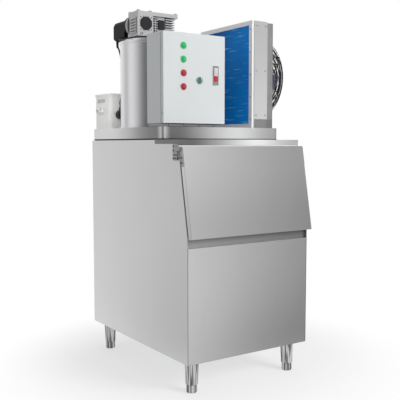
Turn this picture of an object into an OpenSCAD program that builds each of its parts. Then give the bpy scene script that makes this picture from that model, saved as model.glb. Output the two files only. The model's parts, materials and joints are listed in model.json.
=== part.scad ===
// Flake ice machine: an insulated bin on legs with a sloping lift-up door, and on top of it a head
// with a round ice drum, its gearmotor, a control box, a water tank and an air-cooled condenser.
// Millimetres, Z up. The layout has X = 0 on the bin's middle, Y = 0 on its front panel and Z = 0 on
// the floor. placed() then moves it so that the origin is the bottom centre of the whole machine.

/* [Bin] */
// Width of the bin over its side panels
bin_w = 650; // [630:5:700]
// Depth of the bin from front panel to back panel
bin_d = 895; // [880:5:950]
// Height of the bin body above its legs
bin_h = 930; // [900:5:1000]
// Height of the upright front, from the bin's bottom to the knee where the slope starts
knee_h = 526; // [490:2:560]
// Lean of the sloping door face from the vertical, in degrees
door_tilt = 10.4; // [8:0.2:12]
// Thickness of the stainless sheet
sheet_t = 1.5; // [1:0.1:2]
// Thickness of the foamed wall with its inner liner
wall_t = 46; // [38:1:55]
// Height of the finger groove under the door
pull_h = 40; // [30:1:50]
// Depth of the finger groove
pull_d = 14; // [10:1:20]

/* [Top rail] */
// Height of the rail's front edge
rail_front_h = 23; // [18:1:30]
// Height of the rail's side folds
rail_side_h = 17; // [12:1:20]
// Length of the rail's side folds, front to back
rail_len = 190; // [150:5:220]

/* [Legs] */
// Height of the bin's bottom above the floor
leg_h = 140; // [130:2:170]
// Length of the tapered leg sleeve
sleeve_h = 103; // [90:1:115]
// Radius of the sleeve at its top
sleeve_top_r = 31; // [28:0.5:36]
// Radius of the sleeve at its lower end
sleeve_low_r = 26; // [25:0.5:28]
// Radius of the foot
foot_r = 23.5; // [20:0.5:25]
// Rounding of the foot's bottom edge
foot_edge = 6; // [3:0.5:8]
// Radius of the foot's stem
stem_r = 9; // [7:0.5:12]
// Length of the foot's stem inside the sleeve
stem_l = 70; // [50:1:85]
// Distance from the bin's side to a leg's axis
leg_in_x = 60; // [45:1:90]
// Distance from the bin's front or back to a leg's axis
leg_in_y = 62; // [45:1:90]

/* [Bin door] */
// Thickness of the foamed door
door_t = 25; // [20:1:32]
// Gap between the door and the bin's slope, filled by the gasket
door_gap = 8; // [6:0.5:12]
// How far the door's lower edge hangs below the knee
door_drop = 5; // [2:0.5:8]
// Gap between the door's top edge and the rail
door_top_gap = 3.5; // [3:0.5:6]
// Width of the bin's frame beside the opening
frame_side = 56; // [50:1:70]
// Width of the frame under the opening, along the slope
frame_low = 50; // [45:1:60]
// Width of the frame over the opening, along the slope
frame_high = 70; // [65:1:80]
// Width of the gasket
gasket_w = 18; // [12:1:20]
// How far the door's inner panel reaches into the opening
plug_d = 6; // [3:0.5:10]
// Gap between the inner panel and the opening's edge
plug_gap = 12; // [8:1:20]

/* [Hinges] */
// Thickness of the hinge metal
hinge_t = 3; // [2:0.5:4]
// Width of the hinge plate on the bin's side
hinge_w = 38; // [30:1:50]
// Height of the hinge plate
hinge_h = 66; // [50:1:80]
// Radius of the hinge pin
pin_r = 4; // [3:0.5:5]
// Radius of the hinge eyes
eye_r = 9.5; // [8:0.5:10]
// Distance of the pivot below the door's top edge
pivot_down = 7.5; // [6:0.5:9]
// Distance of the pivot in front of the bin's slope
pivot_out = 16; // [15:0.5:18]
// Length of the hinge arm along the door's edge
arm_l = 74; // [50:1:110]

/* [Head base] */
// Width of the plinth under the head
base_w = 644; // [630:2:650]
// Height of the plinth
base_h = 53; // [40:1:70]
// Depth of the plinth, front to back
base_d = 691; // [680:1:700]
// Rounding of the plinth's corners
base_r = 22; // [10:1:40]
// Thickness of the dark seal under the plinth
seal_t = 3; // [2:0.5:5]
// Width of the seal
seal_w = 24; // [15:1:30]

/* [Ice drum] */
// Place of the drum's axis across the machine
drum_x = -178; // [-180:1:-172]
// Distance from the plinth's front to the drum's axis
drum_in = 354; // [346:1:356]
// Outer radius of the drum's jacket
drum_r = 140; // [134:0.5:142]
// Height of the drum
drum_h = 389; // [360:1:420]
// Inner radius of the freezing cylinder
evap_r = 100; // [95:0.5:104]
// Wall of the freezing cylinder
evap_t = 8; // [6:0.5:12]
// Radius of the ice chute through the plinth and the bin's top
chute_r = 90; // [80:1:92]
// Thickness of the lid's rim band
lid_t = 12; // [8:0.5:16]
// How far the lid's rim stands out over the jacket
lid_over = 3; // [1:0.5:4]
// Height of the raised ring on the lid
ring_h = 10; // [6:0.5:14]
// Radius of the raised ring on the lid
ring_r = 120; // [110:1:130]
// Height of the gearbox seat above the ring
seat_h = 14.5; // [8:0.5:24]
// Radius of the gearbox seat
seat_r = 46; // [40:1:48]
// Radius of the main shaft
shaft_r = 14; // [12:0.5:16]
// Outer radius of the shaft bearings
bearing_r = 24; // [21:0.5:26]
// Thickness of the shaft bearings
bearing_t = 12; // [10:0.5:14]

/* [Ice rotor] */
// Running gap between blade teeth and freezing cylinder
blade_gap = 2; // [1:0.25:3]
// Running gap between wiper lip and freezing cylinder
wiper_gap = 0.8; // [0.4:0.1:1.5]
// Height of one blade tooth
tooth_p = 16; // [10:1:24]
// Depth of the blade teeth
tooth_d = 7; // [4:0.5:10]
// Radius of the water pan
pan_r = 62; // [50:1:70]
// Height of the water pan
pan_h = 24; // [18:1:30]

/* [Gearmotor] */
// Length of the gearbox cover
cover_l = 219; // [205:1:230]
// Depth of the gearbox, front to back
gear_d = 96; // [90:1:100]
// Height of the gearbox under its cover
gear_h = 96; // [90:1:110]
// Thickness of the gearbox cover
cover_t = 22; // [18:1:28]
// Width of the worm housing with the bore cap
worm_w = 82; // [76:1:86]
// Distance from the drum's axis to the gearbox's left face
gear_left = 90; // [84:1:95]
// Radius of the black bore cap
cap_r = 30; // [26:0.5:32]
// Height of the worm's axis above the gearbox seat
worm_z = 58; // [54:0.5:60]
// Radius of the motor's round collar
motor_r = 50; // [46:0.5:52]
// Width of the squared motor
motor_w = 92; // [84:1:96]
// Height of the squared motor
motor_h = 92; // [84:1:94]
// Distance of the motor's axis below the worm's axis
motor_drop = 14; // [10:0.5:15]
// Length of the motor
motor_l = 127; // [110:1:140]
// Length of the collar between gearbox and motor
collar_l = 36; // [25:1:40]
// Number of cooling fins
fin_n = 5; // [4:1:6]

/* [Control box] */
// Width of the control box
box_w = 320; // [310:1:330]
// Height of the control box
box_h = 388; // [360:1:420]
// Depth of the control box with its door
box_d = 140; // [130:1:145]
// Distance from the plinth's left side to the control box
box_in = 10; // [6:1:20]
// Height of the control box above the plinth
box_lift = 15; // [10:1:20]
// Depth of the folded door
pan_d = 20; // [18:0.5:22]
// Gap between door and box
box_gap = 4; // [3.5:0.25:5]
// Thickness of the box sheet
box_t = 1.5; // [1:0.1:2]
// Width of the fold round the box's mouth
box_lip = 12; // [10:0.5:15]
// Distance of the door's pivot from its left and back edges
box_pivot = 6; // [5.5:0.25:6.5]
// Radius of the lamp lenses
lamp_r = 10.5; // [9:0.25:11]
// Distance from one lamp to the next
lamp_pitch = 58.5; // [50:0.5:62]
// Distance from the door's top to the first lamp
lamp_down = 55; // [45:1:70]
// Distance from the door's left edge to the lamps
lamp_in = 101; // [80:1:110]
// Distance from the door's left edge to the selector
switch_in = 184; // [170:1:200]
// Height of the selector above the door's lower edge
switch_up = 188; // [150:1:200]
// Radius of the selector's ring
switch_r = 15; // [13:0.5:17]
// Width of the latch
latch_w = 29; // [26:0.5:32]
// Height of the latch
latch_h = 84; // [78:1:90]
// Distance from the door's right edge to the latch's middle
latch_in = 50; // [40:1:60]
// Height of the latch's middle above the door's lower edge
latch_up = 213; // [200:1:230]
// Travel of the latch button
button_travel = 2.5; // [1.5:0.25:3]

/* [Condenser] */
// Place of the coil face across the machine
cond_x = 190; // [180:1:194]
// Distance from the plinth's front to the condenser's front
cond_in = 37; // [26:1:56]
// Length of the condenser, front to back
cond_l = 430; // [400:1:450]
// Height of the condenser
cond_h = 500; // [470:1:520]
// Depth of the coil frame
frame_d = 87; // [80:1:89]
// Width of the frame round the coil
flange_w = 24; // [20:1:28]
// Depth of the finned coil
coil_d = 44; // [36:1:60]
// Distance from one fin to the next
fin_p = 7; // [5:0.5:12]
// Depth of the fan shroud
shroud_d = 58; // [50:1:60]
// Radius of the fan's blade tips
fan_r = 178; // [165:1:180]
// Number of fan blades
blade_n = 5; // [4:1:7]
// Radius of the guard's rim
guard_r = 200; // [195:1:201]
// Length of the guard's straight side
guard_side = 70; // [68:1:80]
// Height of the guard's dome
guard_rise = 60; // [58:1:75]
// Radius of the guard's wire
wire_r = 2.2; // [1.8:0.1:2.6]
// Radius of the fan motor
fan_motor_r = 44; // [38:0.5:48]

/* [Water tank] */
// Width of the water tank
tank_w = 166; // [150:1:170]
// Depth of the water tank
tank_d = 168; // [160:1:170]
// Height of the water tank
tank_h = 162; // [145:1:180]
// Wall of the water tank
tank_t = 2; // [1.5:0.25:3]
// Rounding of the tank's upright edges
tank_r = 18; // [12:1:25]
// Distance from the plinth's left side and back to the tank
tank_in = 8; // [7:0.5:12]
// Thickness of the tank lid
tank_lid_t = 8; // [5:0.5:10]
// How far the tank lid stands out
tank_over = 5; // [3:0.5:6]
// Radius of the inlet's pipe thread
inlet_r = 10.4; // [8:0.2:13]
// Length of the inlet's pipe thread
inlet_l = 14; // [10:1:20]
// Radius of the float
float_r = 24; // [18:0.5:28]
// Radius of the pump's face
pump_r = 22; // [18:0.5:23]
// Distance from the tank's left wall to the pump
pump_in = 31; // [20:1:40]

/* [Refrigeration] */
// Place of the compressor across the machine
comp_x = 76; // [70:1:85]
// Distance from the plinth's front to the compressor's axis
comp_in = 451; // [436:1:466]
// Radius of the compressor
comp_r = 90; // [80:1:95]
// Height of the compressor above its feet
comp_h = 270; // [240:1:300]
// Radius of the drain spout
drain_r = 16; // [12:0.5:20]
// Length of the drain spout under the bin
drain_l = 45; // [35:1:60]

/* [Hidden] */
$fn = 64;
eps = 0.01;
// Running clearance of pins and shafts, and the clearance of other pieces that slip together
run_fit = 0.08;
slip_fit = 0.3;

half_w = bin_w / 2;
bin_z = leg_h;
top_z = bin_z + bin_h;
knee_z = bin_z + knee_h;
// Point on the slope: s runs up the slope from the knee, n runs into the bin
function slope_point(s, n) = [
  s * sin(door_tilt) + n * cos(door_tilt),
  knee_z + s * cos(door_tilt) - n * sin(door_tilt)
];
function slope_y(z) = (z - knee_z) * tan(door_tilt);
slope_l = (top_z - knee_z) / cos(door_tilt);
door_out = door_gap + door_t;
door_top = (top_z - rail_front_h - door_top_gap - knee_z - door_out * sin(door_tilt)) / cos(door_tilt);
open_w = bin_w - 2 * frame_side;
open_low = frame_low;
open_high = slope_l - frame_high;
pivot_s = door_top - pivot_down;
pivot = slope_point(pivot_s, -pivot_out);
hinge_gap = 0.4;
hinge_out = half_w + 2 * hinge_t + hinge_gap;
pin_head_t = 2;

rail_y = slope_y(top_z - rail_front_h) - sheet_t;
base_z = top_z + sheet_t + seal_t;
head_z = base_z + base_h;
base_front = bin_d - base_d;
base_left = -base_w / 2;
drum_y = base_front + drum_in;
cond_y = base_front + cond_in;
comp_y = base_front + comp_in;

drum_top = head_z + drum_h;
gear_z = drum_top + lid_t + ring_h + seat_h;
evap_out = evap_r + evap_t;
bridge_h = 16;
hub_h = 42;
hub_floor = 8;
bridge_hub_r = bearing_r + 6;
shaft_low = head_z + hub_floor + slip_fit;
shaft_in = 40;
rotor_low = head_z + hub_h + 8;
pan_z = drum_top - 48;
rotor_high = pan_z - 44;
rotor_hub_r = shaft_r + 9;
rotor_hub_h = 22;
blade_angle = 215;
wiper_angle = 80;
spray_angles = [35, 125, 305];

gear_front = drum_y - gear_d / 2;
gear_back = drum_y + gear_d / 2;
gear_x = drum_x - gear_left;
worm_x = gear_x + worm_w / 2 + 3;
worm_axis_z = gear_z + worm_z;

box_x = base_left + box_in;
box_y = base_front + 3;
box_z = head_z + box_lift;
box_body_y = box_y + pan_d + box_gap;
lamp_x = box_x + lamp_in;
lamp_z = box_z + box_h - lamp_down;
switch_x = box_x + switch_in;
switch_z = box_z + switch_up;
latch_x = box_x + box_w - latch_in;
latch_z = box_z + latch_up;
box_axis = [box_x + box_pivot, box_y + pan_d - box_pivot];
tab_h = 5;
boss_h = 14;
box_pin_r = 2.5;
tab_zs = [box_z + 40, box_z + box_h - 60];
lamp_neck = 11;
button_h = 24;
latch_foot = 15;
latch_pin_r = 1.5;
cup_w = latch_w - 6;
cup_h = latch_h - 6;
cup_d = 16;
handle_w = latch_w / 2 - 5;

cond_end = cond_y + cond_l;
shroud_x = cond_x + frame_d;
guard_x = shroud_x + shroud_d;
fan_y = cond_y + flange_w + (cond_l - flange_w) / 2;
fan_z = head_z + cond_h / 2;
dome_r = (guard_r * guard_r + guard_rise * guard_rise) / (2 * guard_rise);
dome_x = guard_x + guard_side + guard_rise - dome_r;
guard_end = guard_x + guard_side + guard_rise;
fan_hub_x = guard_x + 14;
fan_hub_l = 56;
fan_pin_r = 6;
mouth_r = fan_r + 8;

tank_x = base_left + tank_in;
tank_y = bin_d - tank_in - tank_over - tank_d;
tank_top = head_z + tank_h;
inlet_y = tank_y + tank_d * 0.58;
inlet_z = head_z + 88;
nut_r = 20.5;
nut_t = 9;
float_arm_l = 84;
float_droop = 28;
float_pivot_x = tank_x + tank_t + 24;
pump_x = tank_x + pump_r + pump_in;
pump_z = head_z + 68;
pump_l = 26;
pump_neck_r = 8;
outlet_l = 14;
float_pin_r = 2;
pipe_r = 6;
feet_h = 18;

left_end = min(-hinge_out - pin_head_t, tank_x - nut_t - inlet_l);
right_end = guard_end;
front_end = slope_point(-door_drop, -door_out)[0];

// Shared shapes

module placed() {
  translate([-(left_end + right_end) / 2, -(front_end + bin_d) / 2, 0]) children();
}

module block(low, high) {
  translate(low) cube(high - low);
}

// Extrudes an outline of [Y, Z] points from one X to another
module side_slab(x_low, x_high, points) {
  translate([x_low, 0, 0]) rotate([90, 0, 90]) linear_extrude(x_high - x_low) polygon(points);
}

// Puts children in the slope's frame: X across, Y into the bin, Z up the slope
module on_slope() {
  translate([0, 0, knee_z]) rotate([-door_tilt, 0, 0]) children();
}

module rounded_rect(w, d, r) {
  translate([r, 0]) square([w - 2 * r, d]);
  translate([0, r]) square([w, d - 2 * r]);
  for (x = [r, w - r], y = [r, d - r]) translate([x, y]) circle(r);
}

module along_x(x, y, z) {
  translate([x, y, z]) rotate([0, 90, 0]) children();
}

module along_y(x, y, z) {
  translate([x, y, z]) rotate([-90, 0, 0]) children();
}

module both_sides() {
  children();
  mirror([1, 0, 0]) children();
}

function unit(v) = v / norm(v);
function curve_point(a, b, c, d, t) =
  0.5 * (2 * b + (c - a) * t + (2 * a - 5 * b + 4 * c - d) * t * t + (3 * b - a - 3 * c + d) * t * t * t);
// Smooth curve through the given points, with steps rings on each stretch
function curve(p, steps) = let (n = len(p) - 1) [
  for (i = [0:n - 1], k = [0:steps - 1])
    curve_point(p[max(i - 1, 0)], p[i], p[i + 1], p[min(i + 2, n)], k / steps),
  p[n]
];

// Round tube along a route. The side direction is one that the route never follows
module swept_tube(route, r, side, steps = 3, sides = 8) {
  path = curve(route, steps);
  n = len(path);
  rings = [
    for (i = [0:n - 1])
      let (
        t = unit(path[min(i + 1, n - 1)] - path[max(i - 1, 0)]),
        u = unit(cross(t, side)),
        v = cross(t, u)
      )
      for (k = [0:sides - 1]) path[i] + r * (u * cos(360 * k / sides) + v * sin(360 * k / sides))
  ];
  walls = [
    for (i = [0:n - 2], k = [0:sides - 1])
      let (a = i * sides + k, b = i * sides + (k + 1) % sides)
      [a, b, b + sides, a + sides]
  ];
  ends = [
    [for (k = [sides - 1:-1:0]) k],
    [for (k = [0:sides - 1]) (n - 1) * sides + k]
  ];
  polyhedron(rings, [for (f = concat(walls, ends)) [for (k = [len(f) - 1:-1:0]) f[k]]]);
}

// Storage bin

module side_panel() {
  side_slab(half_w - sheet_t, half_w, [
    [0, bin_z], [bin_d, bin_z], [bin_d, top_z], [slope_y(top_z), top_z], [0, knee_z]
  ]);
}

module left_side_panel() {
  color("#c4c6c7") mirror([1, 0, 0]) side_panel();
}

module right_side_panel() {
  color("#c4c6c7") side_panel();
}

module back_panel() {
  color("#b9bbbc") block(
    [-half_w + sheet_t, bin_d - sheet_t, bin_z + sheet_t],
    [half_w - sheet_t, bin_d, top_z - sheet_t]
  );
}

// One folded sheet: the upright face, the finger groove and the ledge under the door
module front_panel() {
  groove_z = knee_z - pull_h;
  low = bin_z + sheet_t;
  color("#b4b4b5") side_slab(-half_w + sheet_t, half_w - sheet_t, [
    [0, low], [0, groove_z], [pull_d, groove_z], [pull_d, knee_z - sheet_t], [0, knee_z - sheet_t],
    [0, knee_z], [pull_d + sheet_t, knee_z], [pull_d + sheet_t, groove_z - sheet_t],
    [sheet_t, groove_z - sheet_t], [sheet_t, low]
  ]);
}

module base_pan() {
  color("#9fa1a2") difference() {
    block([-half_w + sheet_t, 0, bin_z], [half_w - sheet_t, bin_d, bin_z + sheet_t]);
    drain_hole();
  }
}

module top_deck() {
  color("#b4b6b7") difference() {
    block(
      [-half_w + sheet_t, slope_y(top_z), top_z - sheet_t],
      [half_w - sheet_t, bin_d, top_z]
    );
    chute_hole();
  }
}

// One folded sheet over the bin's top front, with a front edge and two side folds
module front_rail() {
  color("#c9cbcc") difference() {
    union() {
      block([-half_w - sheet_t, rail_y, top_z], [half_w + sheet_t, rail_y + rail_len, top_z + sheet_t]);
      block([-half_w - sheet_t, rail_y, top_z - rail_front_h],
        [half_w + sheet_t, rail_y + sheet_t, top_z + eps]);
      both_sides() block(
        [half_w, rail_y, top_z - rail_side_h],
        [half_w + sheet_t, rail_y + rail_len, top_z + eps]
      );
    }
    both_sides() block(
      [half_w + slip_fit, rail_y - 1, top_z - rail_front_h - 1],
      [half_w + sheet_t + 1, rail_y + sheet_t + 1, top_z - rail_side_h]
    );
  }
}

board_gap = 0.3;

// Four boards around a rectangular cut, between two corners
module boards_around(low, high, cut_low, cut_high) {
  block(low, [high.x, cut_low.y - board_gap, high.z]);
  block([low.x, cut_high.y + board_gap, low.z], high);
  block([low.x, cut_low.y, low.z], [cut_low.x, cut_high.y, high.z]);
  block([cut_high.x, cut_low.y, low.z], [high.x, cut_high.y, high.z]);
}

// Foam boards with narrow joints that line the bin around the ice space and the door's opening
module bin_liner() {
  groove_z = knee_z - pull_h;
  low = bin_z + sheet_t;
  high = top_z - sheet_t;
  back = bin_d - sheet_t;
  out_x = half_w - sheet_t;
  in_x = out_x - wall_t;
  in_low = low + wall_t;
  in_high = high - wall_t;
  in_front = sheet_t + wall_t;
  slope_in = wall_t / cos(door_tilt);
  in_knee = knee_z + (in_front - slope_in) / tan(door_tilt);
  high_y = slope_y(in_high);
  drain_cut = [drain_r + slip_fit, drain_r + slip_fit];
  chute_cut = [chute_r, chute_r];
  color("#e4e7e8") {
    boards_around([-out_x, sheet_t, low], [out_x, back, in_low - board_gap],
      [0, drain_y] - drain_cut, [0, drain_y] + drain_cut);
    difference() {
      boards_around([-out_x, high_y, in_high + board_gap], [out_x, back, high],
        [drum_x, drum_y] - chute_cut, [drum_x, drum_y] + chute_cut);
      side_slab(-half_w, half_w, [
        [high_y - wall_t, in_high], [high_y, in_high], [slope_y(top_z), top_z], [high_y - wall_t, top_z]
      ]);
    }
    both_sides() side_slab(in_x, out_x, [
      [in_front + board_gap, in_low], [back, in_low], [back, in_high],
      [high_y + slope_in + board_gap, in_high], [in_front + board_gap, in_knee]
    ]);
    block([-in_x + board_gap, back - wall_t, in_low], [in_x - board_gap, back, in_high]);
    block([-out_x, sheet_t, in_low], [out_x, in_front, groove_z - sheet_t - board_gap]);
    block([-out_x, pull_d + sheet_t, groove_z - sheet_t], [out_x, in_front, knee_z - board_gap]);
    side_slab(-out_x, out_x, [
      [0, knee_z], [in_front, knee_z], [in_front, in_knee],
      slope_point(open_low - board_gap, wall_t), slope_point(open_low - board_gap, 0)
    ]);
    both_sides() on_slope() block([open_w / 2, 0, open_low], [out_x, wall_t, open_high]);
    side_slab(-out_x, out_x, [
      slope_point(open_high + board_gap, 0), slope_point(open_high + board_gap, wall_t),
      [high_y + slope_in, in_high], [high_y, in_high]
    ]);
  }
}

module chute_hole() {
  translate([drum_x, drum_y, top_z - wall_t - 10]) cylinder(h = head_z - top_z + wall_t + 20, r = chute_r);
}

drain_y = bin_d - 150;

module drain_hole() {
  translate([0, drain_y, bin_z - 1]) cylinder(h = wall_t + 10, r = drain_r + slip_fit);
}

module drain_spout() {
  flange_t = 4;
  bore_r = drain_r - 3;
  color("#e9e9e6") translate([0, drain_y, bin_z - drain_l]) difference() {
    union() {
      cylinder(h = drain_l + sheet_t + wall_t - 2, r = drain_r);
      translate([0, 0, drain_l - flange_t]) cylinder(h = flange_t, r = drain_r + 12);
    }
    translate([0, 0, -1]) cylinder(h = drain_l + wall_t + 10, r = bore_r);
  }
}

// Legs

module at_leg(right, back) {
  x = half_w - leg_in_x;
  translate([right ? x : -x, back ? bin_d - leg_in_y : leg_in_y, 0]) children();
}

module leg_sleeve(right, back) {
  flange_t = 5;
  color("#c6c8c9") at_leg(right, back) translate([0, 0, leg_h - sleeve_h]) difference() {
    union() {
      cylinder(h = sleeve_h, r1 = sleeve_low_r, r2 = sleeve_top_r);
      translate([0, 0, sleeve_h - flange_t]) cylinder(h = flange_t, r = sleeve_top_r + 6);
    }
    translate([0, 0, -1]) cylinder(h = stem_l + 10, r = stem_r + run_fit);
  }
}

module foot(right, back) {
  h = leg_h - sleeve_h - slip_fit;
  shoulder = 2;
  edge = [for (a = [0:15:90]) [foot_r - foot_edge + foot_edge * sin(a), foot_edge - foot_edge * cos(a)]];
  color("#d2d4d5") at_leg(right, back) {
    rotate_extrude() polygon(concat(
      [[0, 0]], edge, [[foot_r, h - shoulder], [foot_r - shoulder, h], [0, h]]
    ));
    translate([0, 0, h - eps]) cylinder(h = stem_l, r = stem_r);
  }
}

module leg_sleeves() {
  for (right = [false, true], back = [false, true]) leg_sleeve(right, back);
}

module foot_front_left() { foot(false, false); }
module foot_front_right() { foot(true, false); }
module foot_back_left() { foot(false, true); }
module foot_back_right() { foot(true, true); }

// Bin door

module door_skin() {
  color("#bdbebf") on_slope() block([-half_w, -door_out, -door_drop], [half_w, -door_gap, door_top]);
}

module door_liner() {
  x = open_w / 2 - plug_gap;
  color("#eef0f0") on_slope() block([-x, -door_gap, open_low + plug_gap], [x, plug_d, open_high - plug_gap]);
}

module door_gasket() {
  inner = open_w / 2 + 4;
  outer = inner + gasket_w;
  color("#2b2c2e") on_slope() difference() {
    block([-outer, -door_gap, open_low - 4 - gasket_w], [outer, -slip_fit, open_high + 4 + gasket_w]);
    block([-inner, -door_gap - 1, open_low - 4], [inner, 1, open_high + 4]);
  }
}

// Plate on the bin's side, with a raised ear that carries the pivot pin outside the door's arm
module hinge_plates() {
  plate_y = slope_y(pivot[1]) + 3;
  plate_top = top_z - rail_side_h - 2;
  ear_x = half_w + hinge_t + hinge_gap;
  color("#a9abac") both_sides() {
    block([half_w, plate_y, plate_top - hinge_h], [half_w + hinge_t, plate_y + hinge_w, plate_top]);
    block([half_w, plate_y, pivot[1] - eye_r], [hinge_out, plate_y + hinge_w / 2, pivot[1] + eye_r]);
    block([ear_x, pivot[0], pivot[1] - eye_r], [hinge_out, plate_y + eps, pivot[1] + eye_r]);
    along_x(ear_x, pivot[0], pivot[1]) cylinder(h = hinge_t, r = eye_r);
    along_x(half_w + slip_fit, pivot[0], pivot[1]) cylinder(h = hinge_out - half_w - slip_fit, r = pin_r);
    along_x(hinge_out - eps, pivot[0], pivot[1]) cylinder(h = pin_head_t, r = pin_r + 2);
  }
}

module hinge_arms() {
  mid = -door_gap - door_t / 2;
  color("#b5b7b8") both_sides() difference() {
    union() {
      on_slope() block([half_w, mid - eye_r, pivot_s - arm_l], [half_w + hinge_t, mid + eye_r, pivot_s]);
      along_x(half_w, pivot[0], pivot[1]) cylinder(h = hinge_t, r = eye_r);
    }
    along_x(half_w - 1, pivot[0], pivot[1]) cylinder(h = hinge_t + 2, r = pin_r + run_fit);
  }
}

// Plinth of the head

module head_base() {
  color("#c2c4c5") difference() {
    translate([base_left, base_front, base_z]) linear_extrude(base_h) rounded_rect(base_w, base_d, base_r);
    chute_hole();
  }
}

// Dark seal: a strip round the plinth's edge, lower behind the rail, and a ring round the chute
module base_seal() {
  rail_end = rail_y + rail_len;
  color("#1f2021") {
    translate([0, 0, top_z + sheet_t]) linear_extrude(seal_t) seal_strip();
    translate([0, 0, top_z]) linear_extrude(sheet_t + eps) intersection() {
      seal_strip();
      translate([base_left, rail_end]) square([base_w, bin_d - rail_end]);
    }
    translate([drum_x, drum_y, top_z]) difference() {
      cylinder(h = sheet_t + seal_t, r = chute_r + seal_w);
      translate([0, 0, -1]) cylinder(h = sheet_t + seal_t + 2, r = chute_r + 2);
    }
  }
}

module seal_strip() {
  edge = 4;
  translate([base_left, base_front]) difference() {
    translate([edge, edge]) rounded_rect(base_w - 2 * edge, base_d - 2 * edge, base_r - edge);
    translate([seal_w, seal_w]) square([base_w - 2 * seal_w, base_d - 2 * seal_w]);
  }
}

// Ice drum

module on_drum(z) {
  translate([drum_x, drum_y, z]) children();
}

// Outer jacket, foamed to the freezing cylinder, with a foot flange
module drum_jacket() {
  foot_t = 7;
  color("#c0c0c4") on_drum(head_z) difference() {
    union() {
      cylinder(h = drum_h, r = drum_r, $fn = 128);
      cylinder(h = foot_t, r = drum_r + lid_over, $fn = 128);
    }
    translate([0, 0, -1]) cylinder(h = drum_h + 2, r = evap_out + slip_fit);
  }
}

module evaporator_cylinder() {
  color("#9da3a6") on_drum(head_z) difference() {
    cylinder(h = drum_h, r = evap_out);
    translate([0, 0, -1]) cylinder(h = drum_h + 2, r = evap_r);
  }
}

module drum_lid() {
  total = lid_t + ring_h + seat_h;
  pocket = bearing_t + slip_fit;
  color("#cdced0") on_drum(drum_top) difference() {
    union() {
      cylinder(h = lid_t, r = drum_r + lid_over, $fn = 128);
      cylinder(h = lid_t + ring_h, r = ring_r);
      cylinder(h = total, r = seat_r);
    }
    translate([0, 0, -1]) cylinder(h = total + 2, r = shaft_r + 1);
    translate([0, 0, total - pocket]) cylinder(h = pocket + 1, r = bearing_r + run_fit);
  }
}

// Cast bridge under the rotor: a ring on the plinth with three arms, and the bearing's cup on its hub
module bottom_bridge() {
  ring_in = chute_r + 1;
  ring_out = evap_r - slip_fit;
  arm_w = 14;
  cup_z = bridge_h + slip_fit;
  color("#a7abad") on_drum(head_z) {
    difference() {
      union() {
        difference() {
          cylinder(h = bridge_h, r = ring_out);
          translate([0, 0, -1]) cylinder(h = bridge_h + 2, r = ring_in);
        }
        for (a = [30, 150, 270]) rotate(a) translate([0, -arm_w / 2, 0])
          cube([(ring_in + ring_out) / 2, arm_w, bridge_h]);
        cylinder(h = bridge_h, r = bridge_hub_r);
      }
      translate([0, 0, hub_floor]) cylinder(h = bridge_h, r = shaft_r + 1);
    }
    translate([0, 0, cup_z]) difference() {
      cylinder(h = hub_h - cup_z, r = bridge_hub_r);
      translate([0, 0, -1]) cylinder(h = hub_h, r = shaft_r + 1);
      translate([0, 0, hub_h - cup_z - bearing_t]) cylinder(h = bearing_t + 1, r = bearing_r + run_fit);
    }
  }
}

module shaft_bearings() {
  seats = [head_z + hub_h - bearing_t, gear_z - bearing_t - slip_fit];
  color("#8f9396") for (z = seats) on_drum(z) difference() {
    cylinder(h = bearing_t, r = bearing_r);
    translate([0, 0, -1]) cylinder(h = bearing_t + 2, r = shaft_r + run_fit);
  }
}

module main_shaft() {
  color("#b9bcbe") on_drum(shaft_low) cylinder(h = gear_z + shaft_in - shaft_low, r = shaft_r);
}

module rotor_hub(z, h = rotor_hub_h) {
  on_drum(z) difference() {
    cylinder(h = h, r = rotor_hub_r);
    translate([0, 0, -1]) cylinder(h = h + 2, r = shaft_r + slip_fit);
  }
}

module rotor_arm(z, angle, reach) {
  arm_w = 12;
  start = shaft_r + slip_fit + 4;
  on_drum(z) rotate(angle) translate([start, -arm_w / 2, 0]) cube([reach - start, arm_w, rotor_hub_h]);
}

// Upright blade with a toothed edge that runs close to the freezing cylinder
module ice_blade() {
  tip = evap_r - blade_gap;
  root = tip - tooth_d;
  blade_w = 20;
  blade_t = 7;
  h = rotor_high + rotor_hub_h - rotor_low;
  count = floor(h / tooth_p);
  teeth = [for (i = [0:count - 1], k = [0, 1]) k == 0 ? [root, i * tooth_p] : [tip, (i + 0.5) * tooth_p]];
  color("#aab0b3") {
    for (z = [rotor_low, rotor_high]) {
      rotor_hub(z);
      rotor_arm(z, blade_angle, root - blade_w + 6);
    }
    on_drum(rotor_low) rotate(blade_angle) translate([0, blade_t / 2, 0]) rotate([90, 0, 0])
      linear_extrude(blade_t)
        polygon(concat([[root - blade_w, 0]], teeth, [[root, h], [root - blade_w, h]]));
  }
}

// Soft lip on an arm that wipes the water film ahead of the blade
module wiper_arm() {
  lip = evap_r - wiper_gap;
  lip_t = 6;
  lip_w = 22;
  low = rotor_low + rotor_hub_h + slip_fit;
  high = rotor_high - rotor_hub_h - slip_fit;
  color("#4a4d50") {
    for (z = [low, high]) {
      rotor_hub(z);
      rotor_arm(z, wiper_angle, lip - lip_w + 6);
    }
    on_drum(low) rotate(wiper_angle) translate([lip - lip_w, -lip_t / 2, 0])
      cube([lip_w - 2, lip_t, high + rotor_hub_h - low]);
  }
}

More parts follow.
